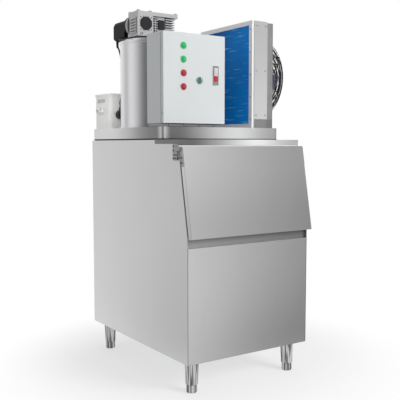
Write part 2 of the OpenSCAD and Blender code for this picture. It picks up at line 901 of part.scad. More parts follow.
// Dish under the lid that turns with the shaft and feeds the spray tubes
module water_pan() {
  pan_t = 2.5;
  spray_r = 5;
  spray_l = 22;
  spray_z = 9;
  color("#c9cccd") on_drum(pan_z) difference() {
    union() {
      cylinder(h = pan_h, r = pan_r);
      for (a = spray_angles) rotate(a) along_x(pan_r - 2, 0, spray_z) cylinder(h = spray_l, r = spray_r);
    }
    translate([0, 0, pan_t]) difference() {
      cylinder(h = pan_h, r = pan_r - pan_t);
      translate([0, 0, -1]) cylinder(h = pan_h + 2, r = rotor_hub_r);
    }
    translate([0, 0, -1]) cylinder(h = pan_h + 2, r = shaft_r + slip_fit);
    for (a = spray_angles) rotate(a) along_x(pan_r - 6, 0, spray_z)
      cylinder(h = spray_l + 6, r = spray_r - 2);
  }
}

// Gearmotor

body_back = 10;
fin_reach = 52;
fin_low = 40;
motor_flange = 10;
bolt_reach = 27.5;

// Cast housing: foot, worm block, gear body, fins on the right and ribs on the left
module gearbox_housing() {
  foot_h = 16;
  body_x = gear_x + worm_w;
  body_w = cover_l - worm_w - fin_reach - 16;
  fin_x = body_x + body_w;
  fin_step = (gear_h - fin_low) / fin_n;
  fin_t = 4.5;
  rib_n = 6;
  rib_step = 13;
  plug_x = gear_x + 22;
  plug_z = gear_z + 12;
  color("#aeb0b1") difference() {
    union() {
      block([gear_x, gear_front, gear_z], [drum_x + seat_r, gear_back, gear_z + foot_h]);
      translate([gear_x, gear_front, gear_z]) linear_extrude(gear_h) worm_outline();
      block([body_x - eps, gear_front + body_back, gear_z], [fin_x, gear_back, gear_z + gear_h]);
      block([fin_x - eps, gear_front + body_back + 8, gear_z + fin_low],
        [fin_x + 18, gear_back - 18, gear_z + gear_h]);
      for (i = [0:fin_n - 1]) block(
        [fin_x - eps, gear_front + 4, gear_z + fin_low + i * fin_step],
        [fin_x + fin_reach, gear_back - 8, gear_z + fin_low + i * fin_step + fin_t]
      );
      for (i = [0:rib_n - 1]) block(
        [gear_x - 3, gear_front + 10, gear_z + 14 + i * rib_step],
        [gear_x + 1, gear_back - 24, gear_z + 20 + i * rib_step]
      );
      along_y(worm_x, gear_back, worm_axis_z) cylinder(h = motor_flange, r = motor_r + 2);
      along_y(worm_x, gear_back - 4, worm_axis_z) cylinder(h = 8, r = cap_r);
      along_y(plug_x, gear_front - 3, plug_z) cylinder(h = 4, r = 8);
    }
    on_drum(gear_z - 1) cylinder(h = shaft_in + 4, r = shaft_r + run_fit);
    along_y(worm_x, gear_front - 1, worm_axis_z) cylinder(h = 5, r = cap_r + 1);
    along_y(plug_x, gear_front - 4, plug_z) cylinder(h = 14, r = 3.5);
    for (x = [-1, 1], z = [-1, 1])
      along_y(worm_x + x * bolt_reach, gear_front - 1, worm_axis_z + z * bolt_reach) cylinder(h = 9, r = 3);
  }
}

module worm_outline() {
  r = 20;
  square([worm_w, gear_d - r]);
  translate([r, 0]) square([worm_w - r, gear_d]);
  translate([r, gear_d - r]) circle(r);
}

// Bolted cover with raised corner bosses
module gearbox_cover() {
  boss_r = 9;
  rise = 4;
  plate_t = cover_t - rise;
  low = gear_z + gear_h;
  color("#b6b8b9") difference() {
    union() {
      translate([gear_x, gear_front, low]) linear_extrude(plate_t) rounded_rect(cover_l, gear_d, 6);
      for (x = [boss_r, worm_w - 12, cover_l - boss_r], y = [boss_r, gear_d - boss_r])
        translate([gear_x + x, gear_front + y, low]) cylinder(h = cover_t, r = boss_r);
    }
    for (i = [0:3]) translate([gear_x + worm_w + 8 + i * 28, gear_front + 16, low + plate_t - 4])
      cube([20, gear_d - 32, 10]);
  }
}

// Black caps on the gearbox front: the round one on the worm's bore and the square breather plug
module bore_cap() {
  body_x = gear_x + worm_w;
  plug_w = 32;
  plug_h = 42;
  color("#333435") {
    along_y(worm_x, gear_front - 3, worm_axis_z) cylinder(h = 7, r = cap_r);
    block([body_x + 30, gear_front + body_back - 8, gear_z + fin_low - 2],
      [body_x + 30 + plug_w, gear_front + body_back, gear_z + fin_low - 2 + plug_h]);
  }
}

motor_edge = 20;
motor_bell = 22;
motor_z = worm_axis_z - motor_drop;

module motor_block(y, l, inset) {
  w = motor_w - 2 * inset;
  h = motor_h - 2 * inset;
  translate([worm_x - w / 2, y + l, motor_z - h / 2]) rotate([90, 0, 0])
    linear_extrude(l) rounded_rect(w, h, motor_edge - inset);
}

// Squared motor a little below the worm's axis, with a round collar and a stepped back
module motor() {
  bell_in = 8;
  body_y = gear_back + collar_l;
  body_l = motor_l - motor_bell;
  color("#242526") {
    along_y(worm_x, gear_back + motor_flange, worm_axis_z)
      cylinder(h = collar_l - motor_flange + eps, r = motor_r);
    motor_block(body_y, body_l, 0);
    motor_block(body_y + body_l - eps, motor_bell + eps, bell_in);
  }
}

cable_r = 4;
// One cable drops from the motor behind the drum to the plinth, the other crosses the lid to the box
drop_route = [
  [-258, 736, 1550.6], [-257, 736, 1532], [-249, 733, 1505], [-243, 729, 1470], [-240, 725, 1425],
  [-238, 724, 1385], [-229, 728, 1348], [-212, 735, 1320], [-186, 740, 1305], [-150, 742, 1303],
  [-126, 741, 1296], [-111, 738, 1276], [-105, 735, 1245], [-104, 732, 1200], [-104, 730, 1160],
  [-104, 730, 1128]
];
lead_route = [
  [-267.4, 690, 1553.6], [-269, 668, 1551.5], [-274, 640, 1547], [-282, 611, 1543.5], [-289, 580, 1543],
  [-291, 548, 1543], [-285, 516, 1543], [-267, 491, 1543.5], [-240, 478, 1545], [-206, 473, 1546],
  [-170, 471, 1546], [-134, 466, 1545.5], [-104, 455, 1543], [-80, 436, 1535], [-65, 410, 1518],
  [-57, 380, 1498], [-54, 358, 1486], [-54, 347.6, 1484]
];

module motor_cables() {
  color("#161616") {
    swept_tube(drop_route, cable_r, [0, 1, 0]);
    swept_tube(lead_route, cable_r, [0.3, 0.2, 1]);
  }
}

// Control box

// Folded box, open at the front, with a fold round its mouth and two hinge tabs with pins
module control_box() {
  back = box_y + box_d;
  tab_x = box_axis[0] - 3.2;
  color("#d3d7d8") {
    difference() {
      block([box_x, box_body_y, box_z], [box_x + box_w, back, box_z + box_h]);
      block([box_x + box_t, box_body_y + box_t, box_z + box_t],
        [box_x + box_w - box_t, back - box_t, box_z + box_h - box_t]);
      block([box_x + box_lip, box_body_y - 1, box_z + box_lip],
        [box_x + box_w - box_lip, box_body_y + 5, box_z + box_h - box_lip]);
    }
    for (z = tab_zs) {
      block([tab_x, box_axis[1] - 4, z], [tab_x + 8, box_body_y + eps, z + tab_h]);
      translate([box_axis[0], box_axis[1], z]) cylinder(h = tab_h + boss_h - 3, r = box_pin_r);
    }
  }
}

// Folded door with holes for what it carries and bosses that turn on the box's pins
module box_door() {
  color("#dde1e2") difference() {
    union() {
      difference() {
        block([box_x, box_y, box_z], [box_x + box_w, box_y + pan_d, box_z + box_h]);
        block([box_x + box_t, box_y + box_t, box_z + box_t],
          [box_x + box_w - box_t, box_y + pan_d + 1, box_z + box_h - box_t]);
      }
      for (z = tab_zs) translate([box_axis[0], box_axis[1], z + tab_h + slip_fit])
        cylinder(h = boss_h, r = box_pivot - slip_fit);
      for (z = tab_zs) block([box_x + eps, box_axis[1] - 4, z + tab_h + slip_fit],
        [box_axis[0] - box_pin_r, box_axis[1] + 4, z + tab_h + slip_fit + boss_h]);
    }
    for (z = tab_zs) {
      translate([box_axis[0], box_axis[1], z]) cylinder(h = tab_h + boss_h - 2, r = box_pin_r + run_fit);
      block([box_x - 1, box_axis[1] - 9, z - 2], [box_axis[0], box_y + pan_d + 1, z + tab_h + slip_fit]);
    }
    for (i = [0:3]) along_y(lamp_x, box_y - 1, lamp_z - i * lamp_pitch)
      cylinder(h = 5, r = lamp_neck + slip_fit);
    along_y(switch_x, box_y - 1, switch_z) cylinder(h = 5, r = lamp_neck + slip_fit);
    block([latch_x - cup_w / 2 - slip_fit, box_y - 1, latch_z - cup_h / 2 - slip_fit],
      [latch_x + cup_w / 2 + slip_fit, box_y + 5, latch_z + cup_h / 2 + slip_fit]);
  }
}

module box_feet() {
  foot_in = 16;
  r = 9;
  deep = box_y + box_d - box_body_y;
  color("#1b1b1c") for (x = [foot_in, box_w - foot_in], y = [foot_in, deep - foot_in])
    translate([box_x + x, box_body_y + y, head_z]) cylinder(h = box_lift, r1 = r, r2 = r - 1.5);
}

// Pilot lamp: ring and domed lens outside the door, neck and body behind it
module lamp(i) {
  body_l = 34;
  ring_r = lamp_r + 2;
  along_y(lamp_x, box_y, lamp_z - i * lamp_pitch) {
    translate([0, 0, -eps]) cylinder(h = body_l, r = lamp_neck);
    translate([0, 0, -3]) cylinder(h = 3, r = ring_r);
    translate([0, 0, -3]) intersection() {
      sphere(lamp_r);
      translate([0, 0, -lamp_r / 2]) cube([2 * lamp_r, 2 * lamp_r, lamp_r + eps], center = true);
    }
  }
}

module green_lamps() {
  color("#1fd774") for (i = [0, 1]) lamp(i);
}

module red_lamps() {
  color("#c83a45") for (i = [2, 3]) lamp(i);
}

knob_pin_r = 4;

module selector_switch() {
  body_l = 34;
  color("#8d9794") along_y(switch_x, box_y, switch_z) difference() {
    union() {
      translate([0, 0, -eps]) cylinder(h = body_l, r = lamp_neck);
      translate([0, 0, -4]) cylinder(h = 4, r = switch_r);
    }
    translate([0, 0, -5]) cylinder(h = 20, r = knob_pin_r + run_fit);
  }
}

module selector_knob() {
  knob_r = switch_r - 3;
  bar_w = 6;
  color("#5f8f80") along_y(switch_x, box_y - 4 - slip_fit, switch_z) {
    cylinder(h = 16, r = knob_pin_r);
    translate([0, 0, -3]) cylinder(h = 3, r = knob_r);
    translate([-bar_w / 2, -knob_r + 1, -11]) cube([bar_w, 2 * knob_r - 2, 9]);
  }
}

latch_axis = [box_y - 1, latch_z + latch_h / 2 - 9];
button_top = latch_z - latch_h / 2 + latch_foot + button_h;

// Latch body: a rim on the door's face and a cup behind it for the handle and the button
module latch_body() {
  rim_t = 3;
  color("#9aa0a2") difference() {
    union() {
      block([latch_x - latch_w / 2, box_y - rim_t, latch_z - latch_h / 2],
        [latch_x + latch_w / 2, box_y, latch_z + latch_h / 2]);
      block([latch_x - cup_w / 2, box_y - eps, latch_z - cup_h / 2],
        [latch_x + cup_w / 2, box_y + cup_d, latch_z + cup_h / 2]);
    }
    block([latch_x - handle_w, box_y - rim_t - 1, latch_z - latch_h / 2 + latch_foot],
      [latch_x + handle_w, box_y + cup_d - 3, latch_z + latch_h / 2 - 5]);
    along_x(latch_x - handle_w - 2, latch_axis[0], latch_axis[1])
      cylinder(h = 2 * handle_w + 4, r = latch_pin_r + run_fit);
  }
}

// Handle plate that tips out at its lower end, on a small pin at its top
module latch_handle() {
  w = handle_w - slip_fit;
  color("#d8dadb") {
    block([latch_x - w, box_y - 4.5, button_top + 1], [latch_x + w, box_y + 0.5, latch_axis[1]]);
    along_x(latch_x - w, latch_axis[0], latch_axis[1]) cylinder(h = 2 * w, r = 2 * latch_pin_r);
    along_x(latch_x - w - 1.8, latch_axis[0], latch_axis[1]) cylinder(h = 2 * w + 3.6, r = latch_pin_r);
  }
}

module latch_button() {
  w = handle_w - slip_fit;
  color("#cf2b33") block(
    [latch_x - w, box_y - 5, latch_z - latch_h / 2 + latch_foot + slip_fit],
    [latch_x + w, box_y + cup_d - 3 - slip_fit - button_travel, button_top]
  );
}

stud_l = 8;
plate_in = 30;
stud_in = 42;
device_d = 62;
relay_w = 50;
relay_h = 80;
relay_p = 62;
breaker_w = 40;
breaker_h = 18;
breaker_p = 20;
strip_w = 220;
strip_h = 35;
strip_d = 40;

// Mounting plate on studs with contactors, breakers and a terminal strip
module switchgear() {
  plate_y = box_y + box_d - box_t - stud_l;
  front = plate_y - device_d;
  mid = box_x + box_w / 2;
  left = mid - strip_w / 2;
  breaker_x = mid + strip_w / 2 - breaker_w + plate_in / 3;
  strip_z = box_z + 2 * plate_in;
  breaker_z = box_z + box_h / 2 + plate_in / 5;
  relay_z = breaker_z + breaker_w;
  color("#c8b45a") {
    block([box_x + plate_in, plate_y - 2, box_z + plate_in],
      [box_x + box_w - plate_in, plate_y, box_z + box_h - plate_in]);
    for (x = [box_x + stud_in, box_x + box_w - stud_in], z = [box_z + stud_in, box_z + box_h - stud_in])
      along_y(x, plate_y - eps, z) cylinder(h = stud_l + eps, r = 4);
    for (i = [0:2]) block([left + i * relay_p, front, relay_z],
      [left + i * relay_p + relay_w, plate_y - 1, relay_z + relay_h]);
    for (i = [0:3]) block([breaker_x, front, breaker_z + i * breaker_p],
      [breaker_x + breaker_w, plate_y - 1, breaker_z + i * breaker_p + breaker_h]);
    block([left, plate_y - strip_d, strip_z], [left + strip_w, plate_y - 1, strip_z + strip_h]);
  }
}

// Condenser

coil_x = cond_x + sheet_t + 1;
coil_front = cond_y + flange_w;
coil_back = cond_end - flange_w;
window_in = flange_w - 3;

// Folded sheet frame: face flange with a window, top, bottom, front and the two tube sheets
module condenser_frame() {
  t = sheet_t;
  high = head_z + cond_h;
  color("#bfc0bf") {
    difference() {
      block([cond_x, cond_y, head_z], [cond_x + t, cond_end, high]);
      block([cond_x - 1, coil_front, head_z + window_in],
        [cond_x + t + 1, coil_back, high - window_in]);
    }
    for (z = [head_z, high - t]) block([cond_x + t - eps, cond_y, z], [shroud_x, cond_end, z + t]);
    for (y = [cond_y, coil_front - t, coil_back])
      block([cond_x + t - eps, y, head_z + t - eps], [shroud_x, y + t, high - t + eps]);
  }
}

// Finned block, cut by upright grooves on its open face
module coil() {
  groove = 3;
  count = floor((coil_back - coil_front) / fin_p);
  color("#0f66ae") difference() {
    block([coil_x, coil_front, head_z + sheet_t], [coil_x + coil_d, coil_back, head_z + cond_h - sheet_t]);
    translate([0, 0, head_z]) linear_extrude(cond_h) for (i = [0:count - 1])
      translate([coil_x - 1, coil_front + (i + 0.5) * fin_p]) square([groove + 1, fin_p * 0.6]);
  }
}

module cover_plate() {
  gap = 42;
  fold = 18;
  left = cond_x + 13;
  right = shroud_x + 4;
  high = head_z + cond_h - 3;
  color("#d2d3d3") difference() {
    block([left, cond_y - sheet_t, head_z + gap], [right, cond_y + fold, high]);
    block([left - 1, cond_y, head_z + gap - 1], [right - sheet_t, cond_y + fold + 1, high + 1]);
  }
}

// Tray over the coil's back, with a round mouth for the fan
module fan_shroud() {
  t = sheet_t;
  y = cond_y + flange_w;
  high = head_z + cond_h;
  mouth_t = 3;
  color("#a7a9a9") difference() {
    union() {
      difference() {
        block([shroud_x, y, head_z], [guard_x, cond_end, high]);
        block([shroud_x - 1, y + t, head_z + t], [guard_x - t, cond_end - t, high - t]);
      }
      along_x(guard_x - 22, fan_y, fan_z) cylinder(h = 22, r = mouth_r + mouth_t, $fn = 128);
    }
    along_x(shroud_x - 1, fan_y, fan_z) cylinder(h = shroud_d + 2, r = mouth_r, $fn = 128);
  }
}

guard_rib_n = 6;
hoop_n = 5;
hub_plate_r = 58;
hub_plate_t = 9;

// Wire basket: hoops round its straight side and over its dome, and bent ribs welded inside the hoops
module fan_guard() {
  straight = [for (i = [0:2]) guard_side * i / 3 + wire_r];
  dome_step = (guard_r - hub_plate_r) / (hoop_n + 1);
  hoops = [for (i = [1:hoop_n]) hub_plate_r + i * dome_step];
  rib_r = wire_r * 1.2;
  rib_in = wire_r * 1.5;
  side_r = guard_r - rib_in;
  arc_r = dome_r - rib_in;
  arc_z = dome_x - guard_x;
  rim = asin(side_r / arc_r);
  bend_z = arc_z + arc_r * cos(rim);
  rib_end = asin((fan_motor_r + 4) / arc_r);
  color("#1c1d1e") translate([guard_x, fan_y, fan_z]) rotate([0, 90, 0]) {
    for (z = straight) hoop(guard_r, z);
    for (r = hoops) hoop(r, dome_height(r));
    translate([0, 0, guard_side + guard_rise - hub_plate_t]) cylinder(h = hub_plate_t, r = hub_plate_r);
    for (a = [0:360 / guard_rib_n:359]) rotate(a) {
      translate([side_r, 0, 0]) cylinder(h = bend_z, r = rib_r, $fn = 16);
      translate([side_r, 0, bend_z]) sphere(rib_r * 1.15, $fn = 16);
      translate([0, 0, arc_z]) rotate([90, 0, 0]) rotate([0, 0, 90 - rim])
        rotate_extrude(angle = rim - rib_end, $fn = 96) translate([arc_r, 0]) circle(rib_r, $fn = 16);
    }
  }
}

function dome_height(r) = dome_x - guard_x + sqrt(dome_r * dome_r - r * r);

module hoop(r, z) {
  translate([0, 0, z]) rotate_extrude($fn = 96) translate([r, 0]) circle(wire_r, $fn = 16);
}

// Motor behind the guard's plate, with the pin that the impeller turns on
module fan_motor() {
  end = guard_end - hub_plate_t;
  start = fan_hub_x + fan_hub_l + slip_fit;
  color("#2e3032") {
    along_x(start, fan_y, fan_z) cylinder(h = end - start, r = fan_motor_r);
    along_x(fan_hub_x + 8, fan_y, fan_z) cylinder(h = start - fan_hub_x - 8 + eps, r = fan_pin_r);
  }
}

// Hub with cambered blades, each a slice of a leaning tube
module fan_impeller() {
  hub_r = fan_motor_r + 2;
  camber_r = 150;
  blade_t = 2.5;
  blade_pitch = 32;
  blade_over = 12;
  color("#8b9094") translate([fan_hub_x, fan_y, fan_z]) rotate([0, 90, 0]) difference() {
    union() {
      cylinder(h = fan_hub_l, r = hub_r);
      for (a = [0:360 / blade_n:359]) rotate(a) intersection() {
        translate([0, 0, -blade_over]) linear_extrude(fan_hub_l + blade_over) blade_outline(hub_r);
        along_x(hub_r - 10, 0, fan_hub_l / 2) rotate(-blade_pitch) translate([camber_r, 0, 0]) difference() {
          cylinder(h = fan_r, r = camber_r, $fn = 128);
          translate([0, 0, -1]) cylinder(h = fan_r + 2, r = camber_r - blade_t, $fn = 128);
        }
      }
    }
    translate([0, 0, 8 - slip_fit]) cylinder(h = fan_hub_l, r = fan_pin_r + run_fit);
  }
}

// Sickle outline of one blade: between hub and tip circle, wider at the tip
module blade_outline(hub_r) {
  intersection() {
    difference() {
      circle(fan_r, $fn = 128);
      circle(hub_r - 3);
    }
    polygon([
      [0, -26], [fan_r * 0.6, -58], [fan_r * 1.2, -70], [fan_r * 1.2, 52], [fan_r * 0.6, 40], [0, 26]
    ]);
  }
}

// Water tank

module water_tank() {
  slot_y = tank_y + tank_d * 0.3;
  color("#c3c3c0") difference() {
    translate([tank_x, tank_y, head_z]) difference() {
      linear_extrude(tank_h) rounded_rect(tank_w, tank_d, tank_r);
      translate([tank_t, tank_t, tank_t]) linear_extrude(tank_h)
        rounded_rect(tank_w - 2 * tank_t, tank_d - 2 * tank_t, tank_r - tank_t);
    }
    block([tank_x - 1, slot_y, tank_top - 34], [tank_x + tank_t + 1, slot_y + 86, tank_top - 15]);
    along_x(tank_x - 1, inlet_y, inlet_z) cylinder(h = tank_t + 2, r = inlet_r + slip_fit);
    along_y(pump_x, tank_y - 1, pump_z) cylinder(h = tank_t + 2, r = pump_neck_r + slip_fit);
  }
}

module tank_lid() {
  color("#d2d2cf") translate([tank_x - tank_over, tank_y - tank_over, tank_top]) linear_extrude(tank_lid_t)
    rounded_rect(tank_w + 2 * tank_over, tank_d + 2 * tank_over, tank_r + tank_over);
}

// Float valve through the tank's wall: pipe thread and nut outside, fork with the float's pin inside
module inlet_fitting() {
  fork = 10;
  fork_t = 3;
  seat_t = 8;
  color("#e6e6e2") difference() {
    union() {
      along_x(tank_x - nut_t - inlet_l, inlet_y, inlet_z)
        cylinder(h = inlet_l + nut_t + tank_t + seat_t + 4, r = inlet_r);
      along_x(tank_x - nut_t, inlet_y, inlet_z) cylinder(h = nut_t, r = nut_r);
      along_x(tank_x + tank_t, inlet_y, inlet_z) cylinder(h = seat_t, r = inlet_r + 5);
      for (y = [-fork, fork - fork_t]) block(
        [tank_x + tank_t + seat_t - 1, inlet_y + y, inlet_z - 5],
        [float_pivot_x + 5, inlet_y + y + fork_t, inlet_z + 5]
      );
      along_y(float_pivot_x, inlet_y - fork + eps, inlet_z)
        cylinder(h = 2 * fork - 2 * eps, r = float_pin_r);
    }
    along_x(tank_x - nut_t - inlet_l - 1, inlet_y, inlet_z)
      cylinder(h = inlet_l + nut_t + 8, r = inlet_r - 3);
  }
}

// Small pump flanged to the tank's front, with its outlet on top
module water_pump() {
  color("#2a2b2c") difference() {
    union() {
      along_y(pump_x, tank_y - pump_l, pump_z) cylinder(h = pump_l, r = pump_r);
      along_y(pump_x, tank_y - eps, pump_z) cylinder(h = tank_t + 8, r = pump_neck_r);
      translate([pump_x, tank_y - pump_l / 2, pump_z]) cylinder(h = pump_r + outlet_l, r = pipe_r + 2);
    }
    along_y(pump_x, tank_y - 10, pump_z) cylinder(h = tank_t + 30, r = pump_neck_r - 3);
  }
}

// Arm on the inlet valve's pin, hanging with its ball as in an empty tank
module float_arm() {
  eye = 5;
  color("#3c6f9e") translate([float_pivot_x, inlet_y, inlet_z]) rotate([0, float_droop, 0]) difference() {
    union() {
      along_y(0, -6, 0) cylinder(h = 12, r = eye);
      block([0, -4, -3], [float_arm_l - float_r + 4, 4, 3]);
      translate([float_arm_l, 0, 0]) sphere(float_r);
    }
    along_y(0, -7, 0) cylinder(h = 14, r = float_pin_r + run_fit);
  }
}

// Refrigeration

// Welded compressor shell with a seam band, on a foot plate with rubber feet
module compressor() {
  dome = 40;
  foot = 176;
  top = [for (a = [0:15:90]) [comp_r * cos(a), comp_h - dome + dome * sin(a)]];
  color("#1d1e20") translate([comp_x, comp_y, head_z]) {
    translate([0, 0, feet_h]) {
      rotate_extrude() polygon(concat([[0, 0], [comp_r - 18, 0], [comp_r, 16]], top));
      translate([0, 0, comp_h * 0.42]) cylinder(h = 12, r = comp_r + 4);
      translate([-foot / 2, -foot / 2, 0]) linear_extrude(5) rounded_rect(foot, foot, 18);
    }
    for (x = [-1, 1], y = [-1, 1]) translate([x * (foot / 2 - 20), y * (foot / 2 - 20), 0])
      cylinder(h = feet_h + eps, r = 15);
    translate([0, 0, feet_h + comp_h * 0.55]) rotate(90) translate([comp_r - 12, -32, 0]) cube([26, 64, 60]);
  }
}

// Pipes between the carried units: each ends a seat gap from the face that it is brazed to
pipe_seat = 0.8;
comp_top = head_z + feet_h + comp_h;
sheet_back = coil_back + sheet_t + pipe_seat;
coil_mid = coil_x + coil_d / 2;
pipe_low = head_z + 60;
pipe_high = comp_top + 96;
low_stub = [cos(52), sin(52), 0];
high_stub = [cos(35), sin(35), 0];
jacket_low = [drum_x, drum_y, pipe_low] + (drum_r + pipe_seat) * low_stub;
jacket_high = [drum_x, drum_y, drum_top - 60] + (drum_r + pipe_seat) * high_stub;
outlet_top = pump_z + pump_r + outlet_l;
outlet_y = tank_y - pump_l / 2;
ring_top = drum_top + lid_t + ring_h;
hot_route = [
  [comp_x, comp_y - 20, comp_top + pipe_seat], [comp_x, comp_y - 20, comp_top + 40],
  [comp_x + 10, comp_y - 10, comp_top + 80], [comp_x + 50, comp_y + 50, pipe_high],
  [coil_mid - 30, coil_back + 90, pipe_high], [coil_mid, coil_back + 60, pipe_high],
  [coil_mid, sheet_back + 20, pipe_high], [coil_mid, sheet_back, pipe_high]
];
liquid_route = [
  [coil_mid, sheet_back, pipe_low], [coil_mid, sheet_back + 24, pipe_low],
  [coil_mid - 16, coil_back + 110, pipe_low], [comp_x + 40, comp_y + comp_r + 60, pipe_low],
  [comp_x - 40, comp_y + comp_r + 40, pipe_low],
  jacket_low + 60 * low_stub, jacket_low + 25 * low_stub, jacket_low
];
suction_route = [
  jacket_high, jacket_high + 25 * high_stub, jacket_high + 50 * high_stub + [0, 0, 12],
  [comp_x - 50, comp_y + 24, drum_top - 36], [comp_x - 18, comp_y + 22, drum_top - 50],
  [comp_x - 10, comp_y + 22, comp_top + 24], [comp_x - 10, comp_y + 22, comp_top + pipe_seat]
];
feed_route = [
  [pump_x, outlet_y, outlet_top + pipe_seat], [pump_x, outlet_y, outlet_top + 14],
  [pump_x, outlet_y, outlet_top + 30], [pump_x + 30, tank_y - 10, head_z + 190],
  [drum_x + 60, tank_y - 4, head_z + 260],
  [drum_x + 90, tank_y - 4, drum_top - 60], [drum_x + 96, tank_y - 10, drum_top + 30],
  [drum_x + 92, tank_y - 36, drum_top + 62], [drum_x + 80, drum_y + 78, drum_top + 56],
  [drum_x + 78, drum_y + 72, ring_top + 16], [drum_x + 78, drum_y + 72, ring_top + pipe_seat]
];

module pipework() {
  color("#b8713f") {
    swept_tube(hot_route, pipe_r, [0.3, -0.2, 0.1]);
    swept_tube(liquid_route, pipe_r, [0, 0, 1]);
    swept_tube(suction_route, pipe_r + 2, [-0.3, 0.9, 0.1]);
    swept_tube(feed_route, pipe_r, [0.2, 0.7, 0]);
  }
}

placed() left_side_panel();
placed() right_side_panel();
placed() back_panel();
placed() front_panel();
placed() base_pan();
placed() top_deck();
placed() front_rail();
placed() bin_liner();
placed() drain_spout();
placed() leg_sleeves();
placed() foot_front_left();
placed() foot_front_right();
placed() foot_back_left();
placed() foot_back_right();
placed() door_skin();
placed() door_liner();
placed() door_gasket();
placed() hinge_plates();
placed() hinge_arms();
placed() head_base();
placed() base_seal();
placed() drum_jacket();
placed() evaporator_cylinder();
placed() drum_lid();
placed() bottom_bridge();
placed() shaft_bearings();
placed() main_shaft();
placed() ice_blade();
placed() wiper_arm();
placed() water_pan();
placed() gearbox_housing();
placed() gearbox_cover();
placed() bore_cap();
placed() motor();
placed() motor_cables();
placed() control_box();
placed() box_door();
placed() box_feet();
placed() green_lamps();
placed() red_lamps();
placed() selector_switch();
placed() selector_knob();
placed() latch_body();
placed() latch_handle();
placed() latch_button();
placed() switchgear();
placed() condenser_frame();
placed() coil();
placed() cover_plate();
placed() fan_shroud();
placed() fan_guard();
placed() fan_motor();
placed() fan_impeller();
placed() water_tank();
placed() tank_lid();
placed() inlet_fitting();
placed() water_pump();
placed() float_arm();
placed() compressor();
placed() pipework();
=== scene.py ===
import json
import math

import bmesh
import bpy
from mathutils import Matrix, Vector


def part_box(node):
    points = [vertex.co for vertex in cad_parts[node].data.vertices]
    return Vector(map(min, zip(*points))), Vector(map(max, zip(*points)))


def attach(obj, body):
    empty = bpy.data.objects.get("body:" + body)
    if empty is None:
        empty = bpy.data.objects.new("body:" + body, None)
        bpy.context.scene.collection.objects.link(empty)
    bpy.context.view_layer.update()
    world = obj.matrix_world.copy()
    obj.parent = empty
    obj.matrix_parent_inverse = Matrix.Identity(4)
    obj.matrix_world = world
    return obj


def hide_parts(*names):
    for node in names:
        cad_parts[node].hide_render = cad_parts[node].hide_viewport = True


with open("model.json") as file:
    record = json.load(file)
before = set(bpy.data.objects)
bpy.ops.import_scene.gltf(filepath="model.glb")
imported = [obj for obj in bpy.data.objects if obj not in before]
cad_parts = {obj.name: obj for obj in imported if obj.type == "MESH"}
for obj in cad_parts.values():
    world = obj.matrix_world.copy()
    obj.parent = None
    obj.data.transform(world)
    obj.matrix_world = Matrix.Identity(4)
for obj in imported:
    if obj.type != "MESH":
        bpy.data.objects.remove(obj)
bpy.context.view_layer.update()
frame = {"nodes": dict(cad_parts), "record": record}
nodes = frame["nodes"]
print("frame loaded:", len(nodes), "nodes")

# layout millimetres, with x = 0 on the bin's middle and y = 0 on its front, to the frame's metres
leftSide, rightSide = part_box("left_side_panel"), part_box("right_side_panel")
layoutShift = Vector(((leftSide[0].x + rightSide[1].x) / 2, leftSide[0].y, 0))


def spot(x, y, z):
    return Vector((x, y, z)) * 0.001 + layoutShift


def placed(name, data):
    made = bpy.data.objects.new(name, data)
    bpy.context.scene.collection.objects.link(made)
    return made


# camera
cameraView = {"place": (-1810.76, -2314.38, 1050.29), "yaw": 33.762, "pitch": 4.643, "lens": 61.51,
              "sensor": 36}

cameraData = bpy.data.cameras.new("photoCamera")
cameraData.lens = cameraView["lens"]
cameraData.sensor_width = cameraView["sensor"]
camera = placed("photoCamera", cameraData)
camera.location = spot(*cameraView["place"])
camera.rotation_euler = (math.radians(90 - cameraView["pitch"]), 0, -math.radians(cameraView["yaw"]))
bpy.context.scene.camera = camera
bpy.context.scene.view_settings.view_transform = "Standard"


# shader maths: a wrapped socket, and a finish that makes nodes
def bothForms(operation):
    return (lambda a, b: a.math(operation, a, b)), (lambda a, b: a.math(operation, b, a))


class Wire:
    def __init__(self, finish, socket):
        self.finish, self.socket = finish, socket

    def math(self, operation, first, second):
        return self.finish.put("ShaderNodeMath", {"operation": operation}, {0: first, 1: second})

    __add__, __radd__ = bothForms("ADD")
    __sub__, __rsub__ = bothForms("SUBTRACT")
    __mul__, __rmul__ = bothForms("MULTIPLY")
    __truediv__, __rtruediv__ = bothForms("DIVIDE")


def tint(tone, amount):
    return tuple(min(1.0, c * amount) for c in tone)


